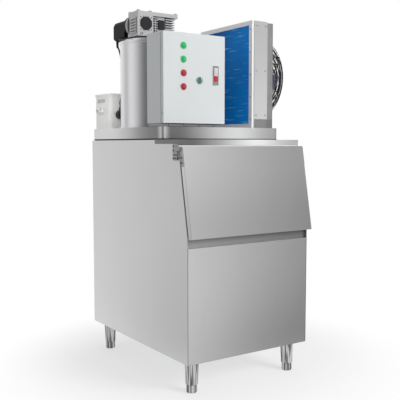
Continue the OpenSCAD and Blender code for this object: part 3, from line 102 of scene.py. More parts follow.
class Finish:
    def __init__(self, name, tree=None):
        if tree is None:
            self.material = bpy.data.materials.new(name)
            self.material.use_nodes = True
            tree = self.material.node_tree
        self.tree = tree
        self.shader = tree.nodes.get("Principled BSDF")

    # any node: its type, its settings first, then values or links for its sockets
    def put(self, kind, settings=None, sockets=None, out=0):
        made = self.tree.nodes.new(kind)
        for key, value in (settings or {}).items():
            setattr(made, key, value)
        for key, value in (sockets or {}).items():
            self.plug(made.inputs[key], value)
        return Wire(self, made.outputs[out])

    def plug(self, socket, value):
        if isinstance(value, Wire):
            self.tree.links.new(value.socket, socket)
        elif socket.type == "RGBA" and len(value) == 3:
            socket.default_value = (*value, 1)
        else:
            socket.default_value = value

    def place(self, scale=(1, 1, 1)):
        spotted = self.put("ShaderNodeTexCoord", out="Object")
        return self.put("ShaderNodeVectorMath", {"operation": "MULTIPLY"}, {0: spotted, 1: scale})

    def axis(self, letter):
        spotted = self.put("ShaderNodeTexCoord", out="Object")
        return self.put("ShaderNodeSeparateXYZ", None, {0: spotted}, out=letter)

    def noise(self, scale, detail=2.0, rough=0.5):
        return self.put("ShaderNodeTexNoise", None,
                        {"Vector": self.place(scale), "Scale": 1.0, "Detail": detail, "Roughness": rough})

    def ramp(self, value, low, high):
        return self.put("ShaderNodeMapRange", {"interpolation_type": "SMOOTHSTEP"},
                        {"Value": value, "From Min": low, "From Max": high})

    def most(self, a, b):
        return self.put("ShaderNodeMath", {"operation": "MAXIMUM"}, {0: a, 1: b})

    def mix(self, amount, first, second):
        return self.put("ShaderNodeMix", {"data_type": "RGBA"}, {0: amount, 6: first, 7: second}, out=2)

    # between two tints of one tone
    def shades(self, amount, tone, first, second):
        return self.mix(amount, tint(tone, first), tint(tone, second))

    # how open a place is, near 0 in corners and grooves
    def openness(self, reach):
        return self.put("ShaderNodeAmbientOcclusion", {"samples": 8}, {"Distance": reach}, out="AO")

    def bump(self, height, strength, depth):
        return self.put("ShaderNodeBump", None, {"Strength": strength, "Distance": depth, "Height": height})

    def surface(self, **values):
        for key, value in values.items():
            self.plug(self.shader.inputs[key.replace("_", " ")], value)
        return self.material


def hexTone(text):
    parts = [int(text[i:i + 2], 16) / 255 for i in (1, 3, 5)]
    return tuple(c / 12.92 if c <= 0.04045 else ((c + 0.055) / 1.055) ** 2.4 for c in parts)


# finishes
# brushed sheet: the corner reach darkens its corners and creases with painted shade, groove is the height
# where the painted shadow of the door in the finger groove starts, and shade names a sheet painted darker at
# its foot and lighter at its head, a painted shade of how the light falls on it
brushed = {"clouds": (3.1, 3.1, 2.3), "smears": (14, 14, 5), "dull": 0.93, "bright": 1.06, "shadow": 0.12,
           "cornerShadeDark": 0.6, "grooveEdge": 0.0004, "grooveFade": 0.001, "grooveDark": 0.42, "grooveTop": 0.4}


def satinSteel(name, tone, rough=0.3, grain=(700, 700, 9), depth=0.05, metal=1.0, cornerShadeReach=0.0, groove=0.0,
               shade=None):
    f = Finish(name)
    lines = f.noise(grain, 2)
    smear = f.noise(brushed["smears"], 4)
    worn = lines * 0.55 + f.noise(brushed["clouds"], 3) * 0.45
    shadow = tint(tone, brushed["shadow"])
    sheet, foot, head = shade or ("", 1.0, 1.0)
    color = f.shades(worn, tone, brushed["dull"] * foot, brushed["bright"] * foot)
    # painted shade: the sheet is darker at its foot and lighter at its head
    if shade:
        low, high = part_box(sheet)
        upper = f.shades(worn, tone, brushed["dull"] * head, brushed["bright"] * head)
        color = f.mix(f.ramp(f.axis("Z"), low.z, high.z), color, upper)
    # painted shade: the sheet darkens in its corners and creases
    if cornerShadeReach:
        color = f.mix(f.ramp(f.openness(cornerShadeReach), 0.92, 0.30) * brushed["cornerShadeDark"], color, shadow)
    # painted shadow of the door's overhang in the finger groove, deepest at its top
    if groove:
        low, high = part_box("front_panel")
        edge = low.y + brushed["grooveEdge"]
        inside = f.ramp(f.axis("Y"), edge, edge + brushed["grooveFade"])
        above = f.ramp(f.axis("Z"), groove, groove + brushed["grooveFade"])
        dark = brushed["grooveDark"] + f.ramp(f.axis("Z"), groove, high.z) * brushed["grooveTop"]
        color = f.mix(inside * above * dark, color, shadow)
    return f.surface(Base_Color=color, Metallic=metal, Roughness=rough - 0.06 + lines * 0.08 + smear * 0.07,
                     Normal=f.bump(lines, depth, 0.0004))


# painted reflections on the plinth and the rail: dark at the left end, bright further on and paler to the
# back, with a painted highlight on the plinth's front left corner and a little random banding, and less
# metallic where the painted reflection is bright
paintedReflection = {"dark": 0.21, "leftEnd": 0.04, "brightAt": 0.62, "rightEnd": 0.42, "backFrom": 0.10,
          "backTo": 0.70, "back": 0.84, "plinth": 0.42, "corner": 0.5, "cornerFrom": 0.045,
          "cornerTo": 0.012, "diffuse": 0.85}


def reflectionPaintedSteel(name, tone):
    f = Finish(name)
    lines = f.noise((9, 9, 700), 2)
    bands = f.noise((5.5, 5.5, 0.1), 1)
    low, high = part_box("head_base")
    wide, deep = high.x - low.x, high.y - low.y
    # painted reflections: darker and lighter along the front and paler towards the back
    brightX = low.x + wide * paintedReflection["brightAt"]
    fallen = f.ramp(f.axis("X"), brightX, high.x) * paintedReflection["rightEnd"]
    along = f.ramp(f.axis("X"), low.x + paintedReflection["leftEnd"], brightX) - fallen
    behind = f.ramp(f.axis("Y"), low.y + deep * paintedReflection["backFrom"], low.y + deep * paintedReflection["backTo"])
    rail = f.ramp(f.axis("Z"), low.z, low.z - 0.001)
    # painted highlight on the plinth's front left corner
    nearX = f.ramp(f.axis("X"), low.x + paintedReflection["cornerFrom"], low.x + paintedReflection["cornerTo"])
    nearY = f.ramp(f.axis("Y"), low.y + paintedReflection["cornerFrom"], low.y + paintedReflection["cornerTo"])
    corner = nearX * nearY * (1 - rail)
    bright = f.most(f.most(along, behind * paintedReflection["back"]), corner * paintedReflection["corner"])
    reflectionAndBands = bright * 0.95 + f.ramp(bands, 0.36, 0.62) * 0.05
    paintedSheen = reflectionAndBands * (paintedReflection["plinth"] + rail * (1 - paintedReflection["plinth"]))
    sheet = f.shades(lines, tone, 0.95, 1.05)
    color = f.mix(reflectionAndBands, tint(tone, paintedReflection["dark"]), sheet)
    return f.surface(Base_Color=color, Metallic=1 - paintedSheen * paintedReflection["diffuse"], Roughness=0.26 + lines * 0.1,
                     Normal=f.bump(lines, 0.05, 0.0004))


# the coil's frame: its left jamb made pale by painted light, its foot below the cover darkened by a painted
# shadow, and the fan's shroud behind it duller
zinc = {"jambLight": 1.6, "jambEdge": 0.003, "shroud": (0.50, 0.62), "foot": 0.42, "edge": 0.0002}


def spangledZinc(name, tone):
    f = Finish(name)
    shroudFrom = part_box("fan_shroud")[0].x
    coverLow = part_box("cover_plate")[0]
    edge = zinc["edge"]
    dull = f.ramp(f.axis("X"), shroudFrom - edge, shroudFrom + edge)
    cells = f.put("ShaderNodeTexVoronoi", None, {"Vector": f.place((90, 90, 60)), "Scale": 1.0}, out="Color")
    flake = f.put("ShaderNodeSeparateColor", None, {0: cells})
    spangle = flake * 0.6 + f.noise((5, 5, 4), 3) * 0.4
    # painted light: the frame's left jamb is made pale
    jambLight = f.ramp(f.axis("X"), coverLow.x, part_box("condenser_frame")[0].x + zinc["jambEdge"])
    plain = f.shades(spangle, tone, 0.92, 1.05)
    pale = f.mix(jambLight, plain, tint(tone, zinc["jambLight"]))
    grey = f.shades(spangle, tone, zinc["shroud"][0], zinc["shroud"][1])
    # painted shadow on the frame's foot below the cover plate
    belowCoverShadow = f.ramp(f.axis("Z"), coverLow.z + edge, coverLow.z - edge)
    foot = belowCoverShadow * f.ramp(f.axis("X"), coverLow.x, coverLow.x + 2 * edge)
    color = f.mix(foot, f.mix(dull, pale, grey), tint(tone, zinc["foot"]))
    return f.surface(Base_Color=color, Metallic=0.15 + dull * 0.35, Roughness=0.36 + flake * 0.16,
                     Normal=f.bump(flake, 0.04, 0.0004))


# rough casting, with painted shade darkening its corners and crevices
def castMetal(name, tone, rough=0.5):
    f = Finish(name)
    pits = f.noise((520, 520, 520), 3, 0.6)
    clouds = f.noise((22, 22, 22), 3)
    # painted shade in the casting's corners and crevices
    creviceShade = f.ramp(f.openness(0.011), 0.86, 0.36)
    unshaded = f.shades(pits * 0.5 + clouds * 0.5, tone, 0.82, 1.14)
    color = f.mix(creviceShade * 0.92, unshaded, tint(tone, 0.1))
    return f.surface(Base_Color=color, Metallic=0.4, Roughness=rough - 0.08 + clouds * 0.18,
                     Normal=f.bump(pits, 0.22, 0.0006))


# turned and polished legs, with painted reflections: dark and bright streaks running upright
def reflectionStreakLegs(name, tone):
    f = Finish(name)
    streaks = f.noise((130, 130, 1.2), 2)
    fine = f.noise((500, 500, 30), 2)
    # painted reflections as dark streaks on the polished steel
    color = f.mix(f.ramp(streaks, 0.40, 0.58), tint(tone, 0.16), tone)
    return f.surface(Base_Color=color, Metallic=1.0, Roughness=0.12 + fine * 0.1,
                     Normal=f.bump(fine, 0.04, 0.0003))


def groundSteel(name, tone, rough=0.22, metal=1.0):
    f = Finish(name)
    rings = f.noise((30, 30, 1400), 2)
    stain = f.noise((26, 26, 26), 4, 0.6)
    color = f.shades(stain, tone, 0.82, 1.08)
    return f.surface(Base_Color=color, Metallic=metal, Roughness=rough - 0.05 + rings * 0.1 + stain * 0.08,
                     Normal=f.bump(rings, 0.05, 0.0003))


def enamel(name, tone, rough=0.35, coat=0.3, gleam=0.5):
    f = Finish(name)
    peel = f.noise((620, 620, 620), 2)
    dust = f.noise((18, 18, 18), 4, 0.65)
    color = f.mix(f.ramp(dust, 0.42, 0.8), tone, tuple(c + 0.015 for c in tone))
    return f.surface(Base_Color=color, Roughness=rough - 0.05 + dust * 0.14, Coat_Weight=coat,
                     Coat_Roughness=0.2, Specular_IOR_Level=gleam, Normal=f.bump(peel, 0.06, 0.0005))


# fade is a painted shade that darkens the coat towards the top of the cover plate
def powderCoat(name, tone, fade=0.0):
    f = Finish(name)
    peel = f.noise((900, 900, 900), 2)
    clouds = f.noise((4, 4, 3), 3)
    color = f.shades(clouds, tone, 0.96, 1.03)
    # painted shade towards the top of the cover plate
    if fade:
        low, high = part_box("cover_plate")
        color = f.mix(f.ramp(f.axis("Z"), low.z, high.z), color, tint(tone, 1 - fade))
    return f.surface(Base_Color=color, Roughness=0.36 + peel * 0.1, Normal=f.bump(peel, 0.12, 0.0004))


def moulded(name, tone, rough=0.45, gleam=0.5):
    f = Finish(name)
    grainy = f.noise((1100, 1100, 1100), 2)
    clouds = f.noise((12, 12, 12), 3)
    color = f.shades(clouds, tone, 0.9, 1.08)
    return f.surface(Base_Color=color, Roughness=rough - 0.06 + grainy * 0.12, Specular_IOR_Level=gleam,
                     Normal=f.bump(grainy, 0.1, 0.0004))


def sheath(name, tone, rough=0.6):
    f = Finish(name)
    grainy = f.noise((420, 420, 420), 3)
    color = f.shades(grainy, tone, 0.8, 1.5)
    return f.surface(Base_Color=color, Roughness=rough - 0.08 + grainy * 0.16,
                     Normal=f.bump(grainy, 0.15, 0.0005))


# blue fins, lighter to the front, with scuffs that run across them
def blueFins(name, tone):
    f = Finish(name)
    streaks = f.noise((20, 9, 170), 2, 0.5)
    wide = f.noise((3, 4, 3), 3)
    scuffs = f.ramp(streaks, 0.57, 0.68)
    low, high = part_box("coil")
    front = f.ramp(f.axis("Y"), high.y, low.y)
    base = f.shades(front * 0.7 + f.ramp(wide, 0.3, 0.7) * 0.3, tone, 0.6, 1.4)
    color = f.mix(scuffs * 0.7, base, (0.22, 0.70, 1.0))
    return f.surface(Base_Color=color, Roughness=0.44 + streaks * 0.2, Specular_IOR_Level=0.15,
                     Normal=f.bump(streaks, 0.08, 0.0005))


def lampLens(name, tone, glow):
    f = Finish(name)
    facets = f.put("ShaderNodeTexVoronoi", {"feature": "F1"},
                   {"Vector": f.place((330, 330, 330)), "Scale": 1.0}, out="Distance")
    color = f.shades(f.ramp(facets, 0.1, 0.7), tone, 1.15, 0.6)
    return f.surface(Base_Color=color, Roughness=0.12 + facets * 0.08, Coat_Weight=0.6, Coat_Roughness=0.08,
                     Emission_Color=color, Emission_Strength=glow, Normal=f.bump(facets, 0.12, 0.0006))


# copper, and left of it the black water pipe from the pump to the drum
waterPipe = {"from": -0.136, "to": -0.139, "tone": (0.05, 0.05, 0.052)}


def copperPipe(name, tone):
    f = Finish(name)
    tarnish = f.noise((24, 24, 24), 4, 0.65)
    fine = f.noise((400, 400, 400), 2)
    dark = f.ramp(tarnish, 0.45, 0.75)
    bare = f.shades(dark, tone, 1.05, 0.5)
    water = f.ramp(f.axis("X"), waterPipe["from"], waterPipe["to"])
    color = f.mix(water, bare, waterPipe["tone"])
    return f.surface(Base_Color=color, Metallic=1 - water, Roughness=0.2 + dark * 0.25 + fine * 0.06,
                     Normal=f.bump(fine, 0.05, 0.0004))


# the mounting plate is told from its devices by depth, and the upper devices from the lower by height
gearTones = {"plateFrom": 0.0112, "plateTo": 0.0108, "upperFrom": 0.130, "upperTo": 0.134, "bands": 55.0,
             "lower": (0.62, 0.60, 0.50), "upper": (0.035, 0.037, 0.04), "band": (0.5, 0.5, 0.48),
             "plate": (0.62, 0.62, 0.56)}


def plateGear(name):
    f = Finish(name)
    low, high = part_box("switchgear")
    onPlate = f.ramp(f.axis("Y"), high.y - gearTones["plateFrom"], high.y - gearTones["plateTo"])
    upper = f.ramp(f.axis("Z"), low.z + gearTones["upperFrom"], low.z + gearTones["upperTo"])
    bands = f.put("ShaderNodeTexWave", {"wave_type": "BANDS", "bands_direction": "Z"},
                  {"Vector": f.place(), "Scale": gearTones["bands"]})
    grainy = f.noise((700, 700, 700), 2)
    device = f.mix(upper, gearTones["lower"], gearTones["upper"])
    banded = f.mix(f.ramp(bands, 0.86, 0.95) * 0.6, device, gearTones["band"])
    color = f.mix(onPlate, banded, gearTones["plate"])
    return f.surface(Base_Color=color, Metallic=onPlate * 0.8, Roughness=0.38 + grainy * 0.14,
                     Normal=f.bump(grainy, 0.08, 0.0004))


binTone = (0.66, 0.66, 0.665)
looks = {
    "bin_steel": satinSteel("binSteel", binTone, cornerShadeReach=0.05),
    "plain_steel": satinSteel("plainSheet", (0.55, 0.56, 0.565), 0.36, (420, 420, 12), cornerShadeReach=0.02),
    "polished_steel": reflectionStreakLegs("polishedLegs", (0.62, 0.62, 0.625)),
    "hinge_metal": castMetal("hingeMetal", (0.40, 0.40, 0.41), 0.42),
    "liner": moulded("binLiner", (0.80, 0.82, 0.83), 0.4),
    "door_inner": moulded("doorInner", (0.82, 0.83, 0.84), 0.38),
    "black_rubber": sheath("blackRubber", (0.018, 0.018, 0.019)),
    "drum_steel": satinSteel("drumSteel", (0.74, 0.74, 0.755), 0.3, (240, 240, 60), 0.03),
    "evaporator_steel": groundSteel("groundSteel", (0.52, 0.53, 0.54), 0.26),
    "cast_aluminium": castMetal("castAluminium", (0.56, 0.56, 0.565), 0.5),
    "motor_black": enamel("motorBlack", (0.007, 0.008, 0.007), 0.5, 0.0, 0.14),
    "black_plastic": moulded("blackPlastic", (0.020, 0.020, 0.021), 0.5, 0.3),
    "box_paint": powderCoat("boxPaint", hexTone("#D9DDDE")),
    "green_lens": lampLens("greenLens", (0.01, 0.62, 0.17), 0.25),
    "red_lens": lampLens("redLens", (0.62, 0.02, 0.05), 0.12),
    "switch_ring": groundSteel("switchRing", (0.36, 0.44, 0.42), 0.25, 0.3),
    "knob_plastic": moulded("knobPlastic", hexTone("#6C9C8E"), 0.4),
    "latch_metal": groundSteel("latchChrome", (0.80, 0.80, 0.81), 0.14, 0.35),
    "latch_red": moulded("latchRed", (0.56, 0.01, 0.02), 0.3),
    "gear_yellow": plateGear("plateGear"),
    "galvanised": spangledZinc("galvanised", (0.58, 0.58, 0.585)),
    "fin_blue": blueFins("finBlue", (0.004, 0.25, 0.90)),
    "cover_sheet": powderCoat("coverSheet", hexTone("#C8C8C8"), 0.22),
    "wire_black": enamel("wireBlack", (0.016, 0.016, 0.018), 0.4, 0.0, 0.3),
    "fan_grey": enamel("fanGrey", (0.80, 0.78, 0.88), 0.4, 0.2),
    "tank_steel": satinSteel("tankSteel", (0.95, 0.95, 0.93), 0.4, (60, 60, 500), 0.02, 0.25),
    "white_plastic": moulded("whitePlastic", (0.94, 0.94, 0.91), 0.35, 1.0),
    "float_blue": moulded("floatBlue", (0.03, 0.14, 0.30), 0.35),
    "compressor_black": enamel("compressorBlack", (0.015, 0.015, 0.017), 0.32, 0.5),
    "copper": copperPipe("copperPipe", (0.70, 0.33, 0.18)),
}
for part in frame["record"]["subparts"]:
    slots = nodes[part["node"]].data.materials
    slots.clear()
    slots.append(looks[part["material_slot"]])

# nodes that differ from the rest of their slot
grooveDeep = 0.0385       # the finger groove starts this far below the front panel's top
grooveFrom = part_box("front_panel")[1].z - grooveDeep
# the plinth and the rail share one steel with painted reflections
headSteel = reflectionPaintedSteel("headSteel", (0.90, 0.90, 0.905))
ownLooks = {
    "head_base": headSteel,
    "front_rail": headSteel,
    # painted shade on the front panel and the door, darker at their foot; the panel also has the painted
    # groove shadow
    "front_panel": satinSteel("panelSteel", binTone, groove=grooveFrom, shade=("front_panel", 0.9, 1.0)),
    "door_skin": satinSteel("doorSteel", binTone, cornerShadeReach=0.05, shade=("door_skin", 0.88, 1.14)),
    "latch_body": groundSteel("latchFrame", (0.50, 0.50, 0.51), 0.2),
    "fan_motor": looks["fan_grey"],
}
for name, look in ownLooks.items():
    nodes[name].data.materials[0] = look


# mesh tools
def around(count, start=0.0):
    return [math.radians(start) + 2 * math.pi * k / count for k in range(count)]


def squareTo(axis):
    axis = Vector(axis).normalized()
    across = axis.orthogonal().normalized()
    return axis, across, axis.cross(across)


def circle(centre, across, other, radius, count):
    return [centre + radius * (across * math.cos(a) + other * math.sin(a)) for a in around(count)]


# faces between two rings, or between a ring and a point
def wall(shape, low, high):
    for k in range(max(len(low), len(high))):
        n = k + 1
        corners = (low[k % len(low)], low[n % len(low)], high[n % len(high)], high[k % len(high)])
        shape.faces.new(list(dict.fromkeys(corners)))


def turned(shape, origin, axis, profile, sides):
    axis, across, other = squareTo(axis)
    rings = []
    for r, h in profile:
        points = circle(origin + axis * h, across, other, r, sides if r else 1)
        rings.append([shape.verts.new(p) for p in points])
    for low, high in zip(rings, rings[1:]):
        wall(shape, low, high)


def slab(shape, low, high):
    middle, size = (Vector(low) + Vector(high)) / 2, Vector(high) - Vector(low)
    bmesh.ops.create_cube(shape, size=1, matrix=Matrix.LocRotScale(middle, None, size))


def tube(shape, points, radius, sides, closed=False):
    count = len(points)
    rings = []
    up = None
    for i, p in enumerate(points):
        before = points[i - 1] if closed or i else p
        after = points[(i + 1) % count] if closed or i + 1 < count else p
        along = (after - before).normalized()
        if up is None:
            up = along.orthogonal()
        up = (up - along * up.dot(along)).normalized()
        rings.append([shape.verts.new(q) for q in circle(p, up, along.cross(up), radius, sides)])
    for i in range(count if closed else count - 1):
        wall(shape, rings[i], rings[(i + 1) % count])
    if not closed:
        shape.faces.new(rings[0][::-1])
        shape.faces.new(rings[-1])


def hoop(shape, centre, axis, radius, wire, sides=6, count=96):
    tube(shape, circle(centre, *squareTo(axis)[1:], radius, count), wire, sides, closed=True)


edgeForm = {"weld": 0.00001, "segments": 2, "bevelFrom": 50, "sharpFrom": 35, "bendLevels": 2}


def welded(obj):
    weld = obj.modifiers.new("weld", "WELD")
    weld.merge_threshold = edgeForm["weld"]


def soften(obj, width):
    welded(obj)
    edge = obj.modifiers.new("edge", "BEVEL")
    edge.width = width
    edge.segments = edgeForm["segments"]
    edge.limit_method = "ANGLE"
    edge.angle_limit = math.radians(edgeForm["bevelFrom"])
    obj.modifiers.new("facing", "WEIGHTED_NORMAL")


def piece(name, shape, body, slotName, replaced=(), bevel=0.0):
    bmesh.ops.recalc_face_normals(shape, faces=shape.faces)
    mesh = bpy.data.meshes.new(name)
    shape.to_mesh(mesh)
    shape.free()
    mesh.shade_smooth()
    mesh.set_sharp_from_angle(angle=math.radians(edgeForm["sharpFrom"]))
    made = placed(name, mesh)
    mesh.materials.append(looks[slotName])
    if bevel:
        soften(made, bevel)
    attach(made, body)
    if replaced:
        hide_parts(*replaced)
    return made


# screw head forms, as radius and height pairs
def socketHead(r, h):
    return [(r, 0), (r, h * 0.85), (r * 0.88, h), (r * 0.52, h), (r * 0.5, h * 0.45), (0, h * 0.45)]


def panHead(r, h):
    return [(r, 0), (r * 0.97, h * 0.4), (r * 0.75, h * 0.8), (r * 0.3, h), (r * 0.26, h * 0.6), (0, h * 0.6)]


def panScrew(shape, place, axis, size):
    turned(shape, place, axis, panHead(*size), sides=18)


def hexHead(r, h):
    return [(r, 0), (r, h * 0.8), (r * 0.86, h), (0, h)]


def washerHead(wide, thick, rise, r, h):
    return [(wide, 0), (wide, thick), (r, thick + rise)] + hexHead(r, h)


# motor cables, with a sleeve at the motor and a nut at the far end
cableForm = {
    "radius": 0.004,
    "steps": 6,
    "roundness": 3,
    "sleeve": [(1.02, 0.03), (1.25, 0.026), (1.6, 0.008), (1.7, 0.0), (1.7, -0.004), (0, -0.004)],
    "nut": [(1.02, 0.02), (1.5, 0.018), (1.8, 0.012), (2.3, 0.011), (2.3, 0.004), (2.6, 0.004), (2.6, 0.0),
            (0, 0.0)],
    "drop": [(-258, 736, 1550.6), (-257, 736, 1532), (-249, 733, 1505), (-243, 729, 1470), (-240, 725, 1425),
             (-238, 724, 1385), (-229, 728, 1348), (-212, 735, 1320), (-186, 740, 1305), (-150, 742, 1303),
             (-126, 741, 1296), (-111, 738, 1276), (-105, 735, 1245), (-104, 732, 1200), (-104, 730, 1160),
             (-104, 730, 1128)],
    "lead": [(-267.4, 690, 1553.6), (-269, 668, 1551.5), (-274, 640, 1547), (-282, 611, 1543.5),
             (-289, 580, 1543), (-291, 548, 1543), (-285, 516, 1543), (-267, 491, 1543.5), (-240, 478, 1545),
             (-206, 473, 1546), (-170, 471, 1546), (-134, 466, 1545.5), (-104, 455, 1543), (-80, 436, 1535),
             (-65, 410, 1518), (-57, 380, 1498), (-54, 358, 1486), (-54, 347.6, 1484)],
}


def smoothRoute(marks, steps):
    points = [spot(*m) for m in marks]
    last = len(points) - 1
    route = []
    for i in range(last):
        a, b, c, d = points[max(i - 1, 0)], points[i], points[i + 1], points[min(i + 2, last)]
        for k in range(steps):
            t = k / steps
            route.append(0.5 * (2 * b + (c - a) * t + (2 * a - 5 * b + 4 * c - d) * t * t
                                + (3 * b - a - 3 * c + d) * t ** 3))
    return route + [points[last]]


def motorCable(name, marks):
    r = cableForm["radius"]
    route = smoothRoute(marks, cableForm["steps"])
    curve = bpy.data.curves.new(name, "CURVE")
    curve.dimensions = "3D"
    line = curve.splines.new("POLY")
    line.points.add(len(route) - 1)
    for dot, p in zip(line.points, route):
        dot.co = (*p, 1)
    curve.bevel_depth = r
    curve.bevel_resolution = cableForm["roundness"]
    curve.use_fill_caps = True
    made = placed(name, curve)
    curve.materials.append(looks["black_rubber"])
    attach(made, "root")
    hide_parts("motor_cables")
    glands = bmesh.new()
    turned(glands, route[0], route[2] - route[0], [(r * k, h) for k, h in cableForm["sleeve"]], sides=16)
    turned(glands, route[-1], route[-3] - route[-1], [(r * k, h) for k, h in cableForm["nut"]], sides=12)
    ends = piece(name + "Glands", glands, "root", "black_plastic")


motorCable("dropCable", cableForm["drop"])
motorCable("leadCable", cableForm["lead"])


# studio
panelFront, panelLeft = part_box("front_panel")[0].y, leftSide[0].x
studio = {"worldDiffuse": 0.4, "floorDiffuse": 0.35, "floorTone": 0.9, "floorGlow": 0.6, "floorNear": 0.5,
          "floorFar": 1.1, "floorHalf": 40, "cardLight": 0.95, "cardTop": 5, "cardFoot": 0.02,
          "cardLift": 0.01, "fanX": -1.87476, "fanY": -2.7452}
lamps = {
    "frontLamp": {"place": (1.6, -4.2, 2.6), "aim": (0, 0, 0.9), "size": (2.4, 2.0), "power": 150},
    "leftLamp": {"place": (-4.0, -1.4, 2.8), "aim": (0, 0, 0.9), "size": (2.4, 2.4), "power": 14},
    "topLamp": {"place": (0.2, 0.4, 4.2), "aim": (0, 0, 1.0), "size": (2.6, 2.6), "power": 22},
    "tankLamp": {"place": (-1.2, -1.03, 1.4), "aim": (-0.30, 0.37, 1.22), "size": (0.16, 0.16),
                 "power": 0.045, "spread": 10},
}
uprightCards = {
    "rightCard": {"x": 3.0, "near": -8.0, "far": 3.0, "tone": 0.29, "dark": -3.0, "light": -6.6},
    "leftCard": {"x": -3.0, "near": 1.6, "far": 7.0, "tone": 0.58, "dark": 3.0, "light": 6.3},
    "drumCard": {"x": -3.0, "near": -5.5, "far": 1.0, "tone": 0.12, "dark": -2.2, "light": 0.9},
}
frontCard = {"left": -0.9, "right": 3.0, "near": -6.0, "far": panelFront - 0.2, "tone": 0.29, "dark": 0.36,
             "light": -0.5, "heel": 0.16}
sideCard = {"left": -3.0, "right": panelLeft - 0.3, "near": -0.6, "far": 6.0, "tone": 0.56, "dark": -0.6,
            "light": 0.5, "heel": 0.0}


def studioLamp(name, form):
    data = bpy.data.lights.new(name, "AREA")
    data.shape = "RECTANGLE"
    data.size, data.size_y = form["size"]
    data.energy = form["power"]
    data.spread = math.radians(form.get("spread", 180))
    lamp = placed(name, data)
    lamp.location = form["place"]
    lamp.visible_glossy = False
    lamp.rotation_mode = "QUATERNION"
    lamp.rotation_quaternion = (Vector(form["aim"]) - Vector(form["place"])).to_track_quat("-Z", "Y")


def flatCard(name, corners, material):
    mesh = bpy.data.meshes.new(name)
    mesh.from_pydata(corners, [], [(0, 1, 2, 3)])
    mesh.materials.append(material)
    card = placed(name, mesh)
    return card


def seenRays(f):
    camera, glossy, through = [f.put("ShaderNodeLightPath", out="Is " + kind + " Ray")
                               for kind in ("Camera", "Glossy", "Transmission")]
    return f.most(f.most(camera, glossy), through)


# white for camera, glossy and transmission rays, a plain level for the rest
def studioWorld():
    world = bpy.data.worlds.new("studioWorld")
    bpy.context.scene.world = world
    world.use_nodes = True
    f = Finish("studioWorld", world.node_tree)
    background = world.node_tree.nodes["Background"].inputs
    f.plug(background["Color"], (1.0, 1.0, 1.0))
    f.plug(background["Strength"], studio["worldDiffuse"] + seenRays(f) * (1.0 - studio["worldDiffuse"]))


# plain and pale near the machine, white further out
def paleFloor():
    f = Finish("paleFloor")
    spotted = f.put("ShaderNodeTexCoord", out="Object")
    away = f.put("ShaderNodeVectorMath", {"operation": "LENGTH"}, {0: spotted}, out="Value")
    paint = f.put("ShaderNodeBsdfDiffuse", None, {"Color": (studio["floorTone"],) * 3})
    level = studio["floorDiffuse"] + seenRays(f) * (1.0 - studio["floorDiffuse"])
    glow = f.put("ShaderNodeEmission", None, {"Color": (1.0, 1.0, 1.0), "Strength": level})
    least = studio["floorGlow"]
    fade = least + f.ramp(away, studio["floorNear"], studio["floorFar"]) * (1 - least)
    cover = f.put("ShaderNodeMixShader", None, {0: fade, 1: paint, 2: glow})
    f.plug(f.tree.nodes["Material Output"].inputs["Surface"], cover)
    half = studio["floorHalf"]
    flatCard("floor", [(-half, -half, 0), (half, -half, 0), (half, half, 0), (-half, half, 0)], f.material)


# shaded cards round the machine, seen only in the steel: each runs from a dark tone to light
def shadedCard(name, corners, form, across):
    f = Finish(name)
    shade = f.ramp(across(f), form["dark"], form["light"])
    color = f.mix(shade, (form["tone"],) * 3, (studio["cardLight"],) * 3)
    f.surface(Base_Color=(0, 0, 0), Roughness=1.0, Emission_Color=color, Emission_Strength=1.0)
    card = flatCard(name, corners, f.material)
    card.visible_camera = False
    card.visible_diffuse = False
    card.visible_shadow = False


def uprightCard(name, form):
    x, near, far, foot, top = form["x"], form["near"], form["far"], studio["cardFoot"], studio["cardTop"]
    shadedCard(name, [(x, near, foot), (x, far, foot), (x, far, top), (x, near, top)], form,
               lambda f: f.axis("Y"))


# on the floor the shade fans out, so that it stands upright in the bin's sides
def layingCard(name, form, first, second, wall, fan):
    def across(f):
        reach = (f.axis(first) - wall) * (1 / (fan[0] - wall))
        return (f.axis(second) + reach * fan[1]) / (1 + reach) + f.ramp(reach, 0.7, 0.1) * form["heel"]
    left, right, near, far, lift = form["left"], form["right"], form["near"], form["far"], studio["cardLift"]
    corners = [(left, near, lift), (right, near, lift), (right, far, lift), (left, far, lift)]
    shadedCard(name, corners, form, across)


studioWorld()
paleFloor()
for name, form in uprightCards.items():
    uprightCard(name, form)
layingCard("frontCard", frontCard, "Y", "X", panelFront, (studio["fanY"], studio["fanX"]))
layingCard("sideCard", sideCard, "X", "Y", panelLeft, (studio["fanX"], studio["fanY"]))
for name, form in lamps.items():
    studioLamp(name, form)
print("studio ready")

# folded and pressed edges on the carried sheet and castings
softEdges = {
    "door_skin": 0.0022, "front_panel": 0.0005, "left_side_panel": 0.0006, "right_side_panel": 0.0006,
    "head_base": 0.0016, "front_rail": 0.0005, "box_door": 0.0006, "control_box": 0.0006,
    "gearbox_housing": 0.0012, "gearbox_cover": 0.0018, "condenser_frame": 0.0005, "cover_plate": 0.0006,
    "fan_shroud": 0.0006, "drum_lid": 0.0012, "tank_lid": 0.0016, "door_liner": 0.002, "latch_button": 0.0008,
    "latch_handle": 0.0008, "hinge_arms": 0.0006, "hinge_plates": 0.0006, "selector_knob": 0.0006,
}
for name, width in softEdges.items():
    soften(nodes[name], width)
welded(nodes["pipework"])
bends = nodes["pipework"].modifiers.new("bends", "SUBSURF")
bends.levels = bends.render_levels = edgeForm["bendLevels"]
print("edges softened on", len(softEdges), "nodes, and the pipes' bends rounded")


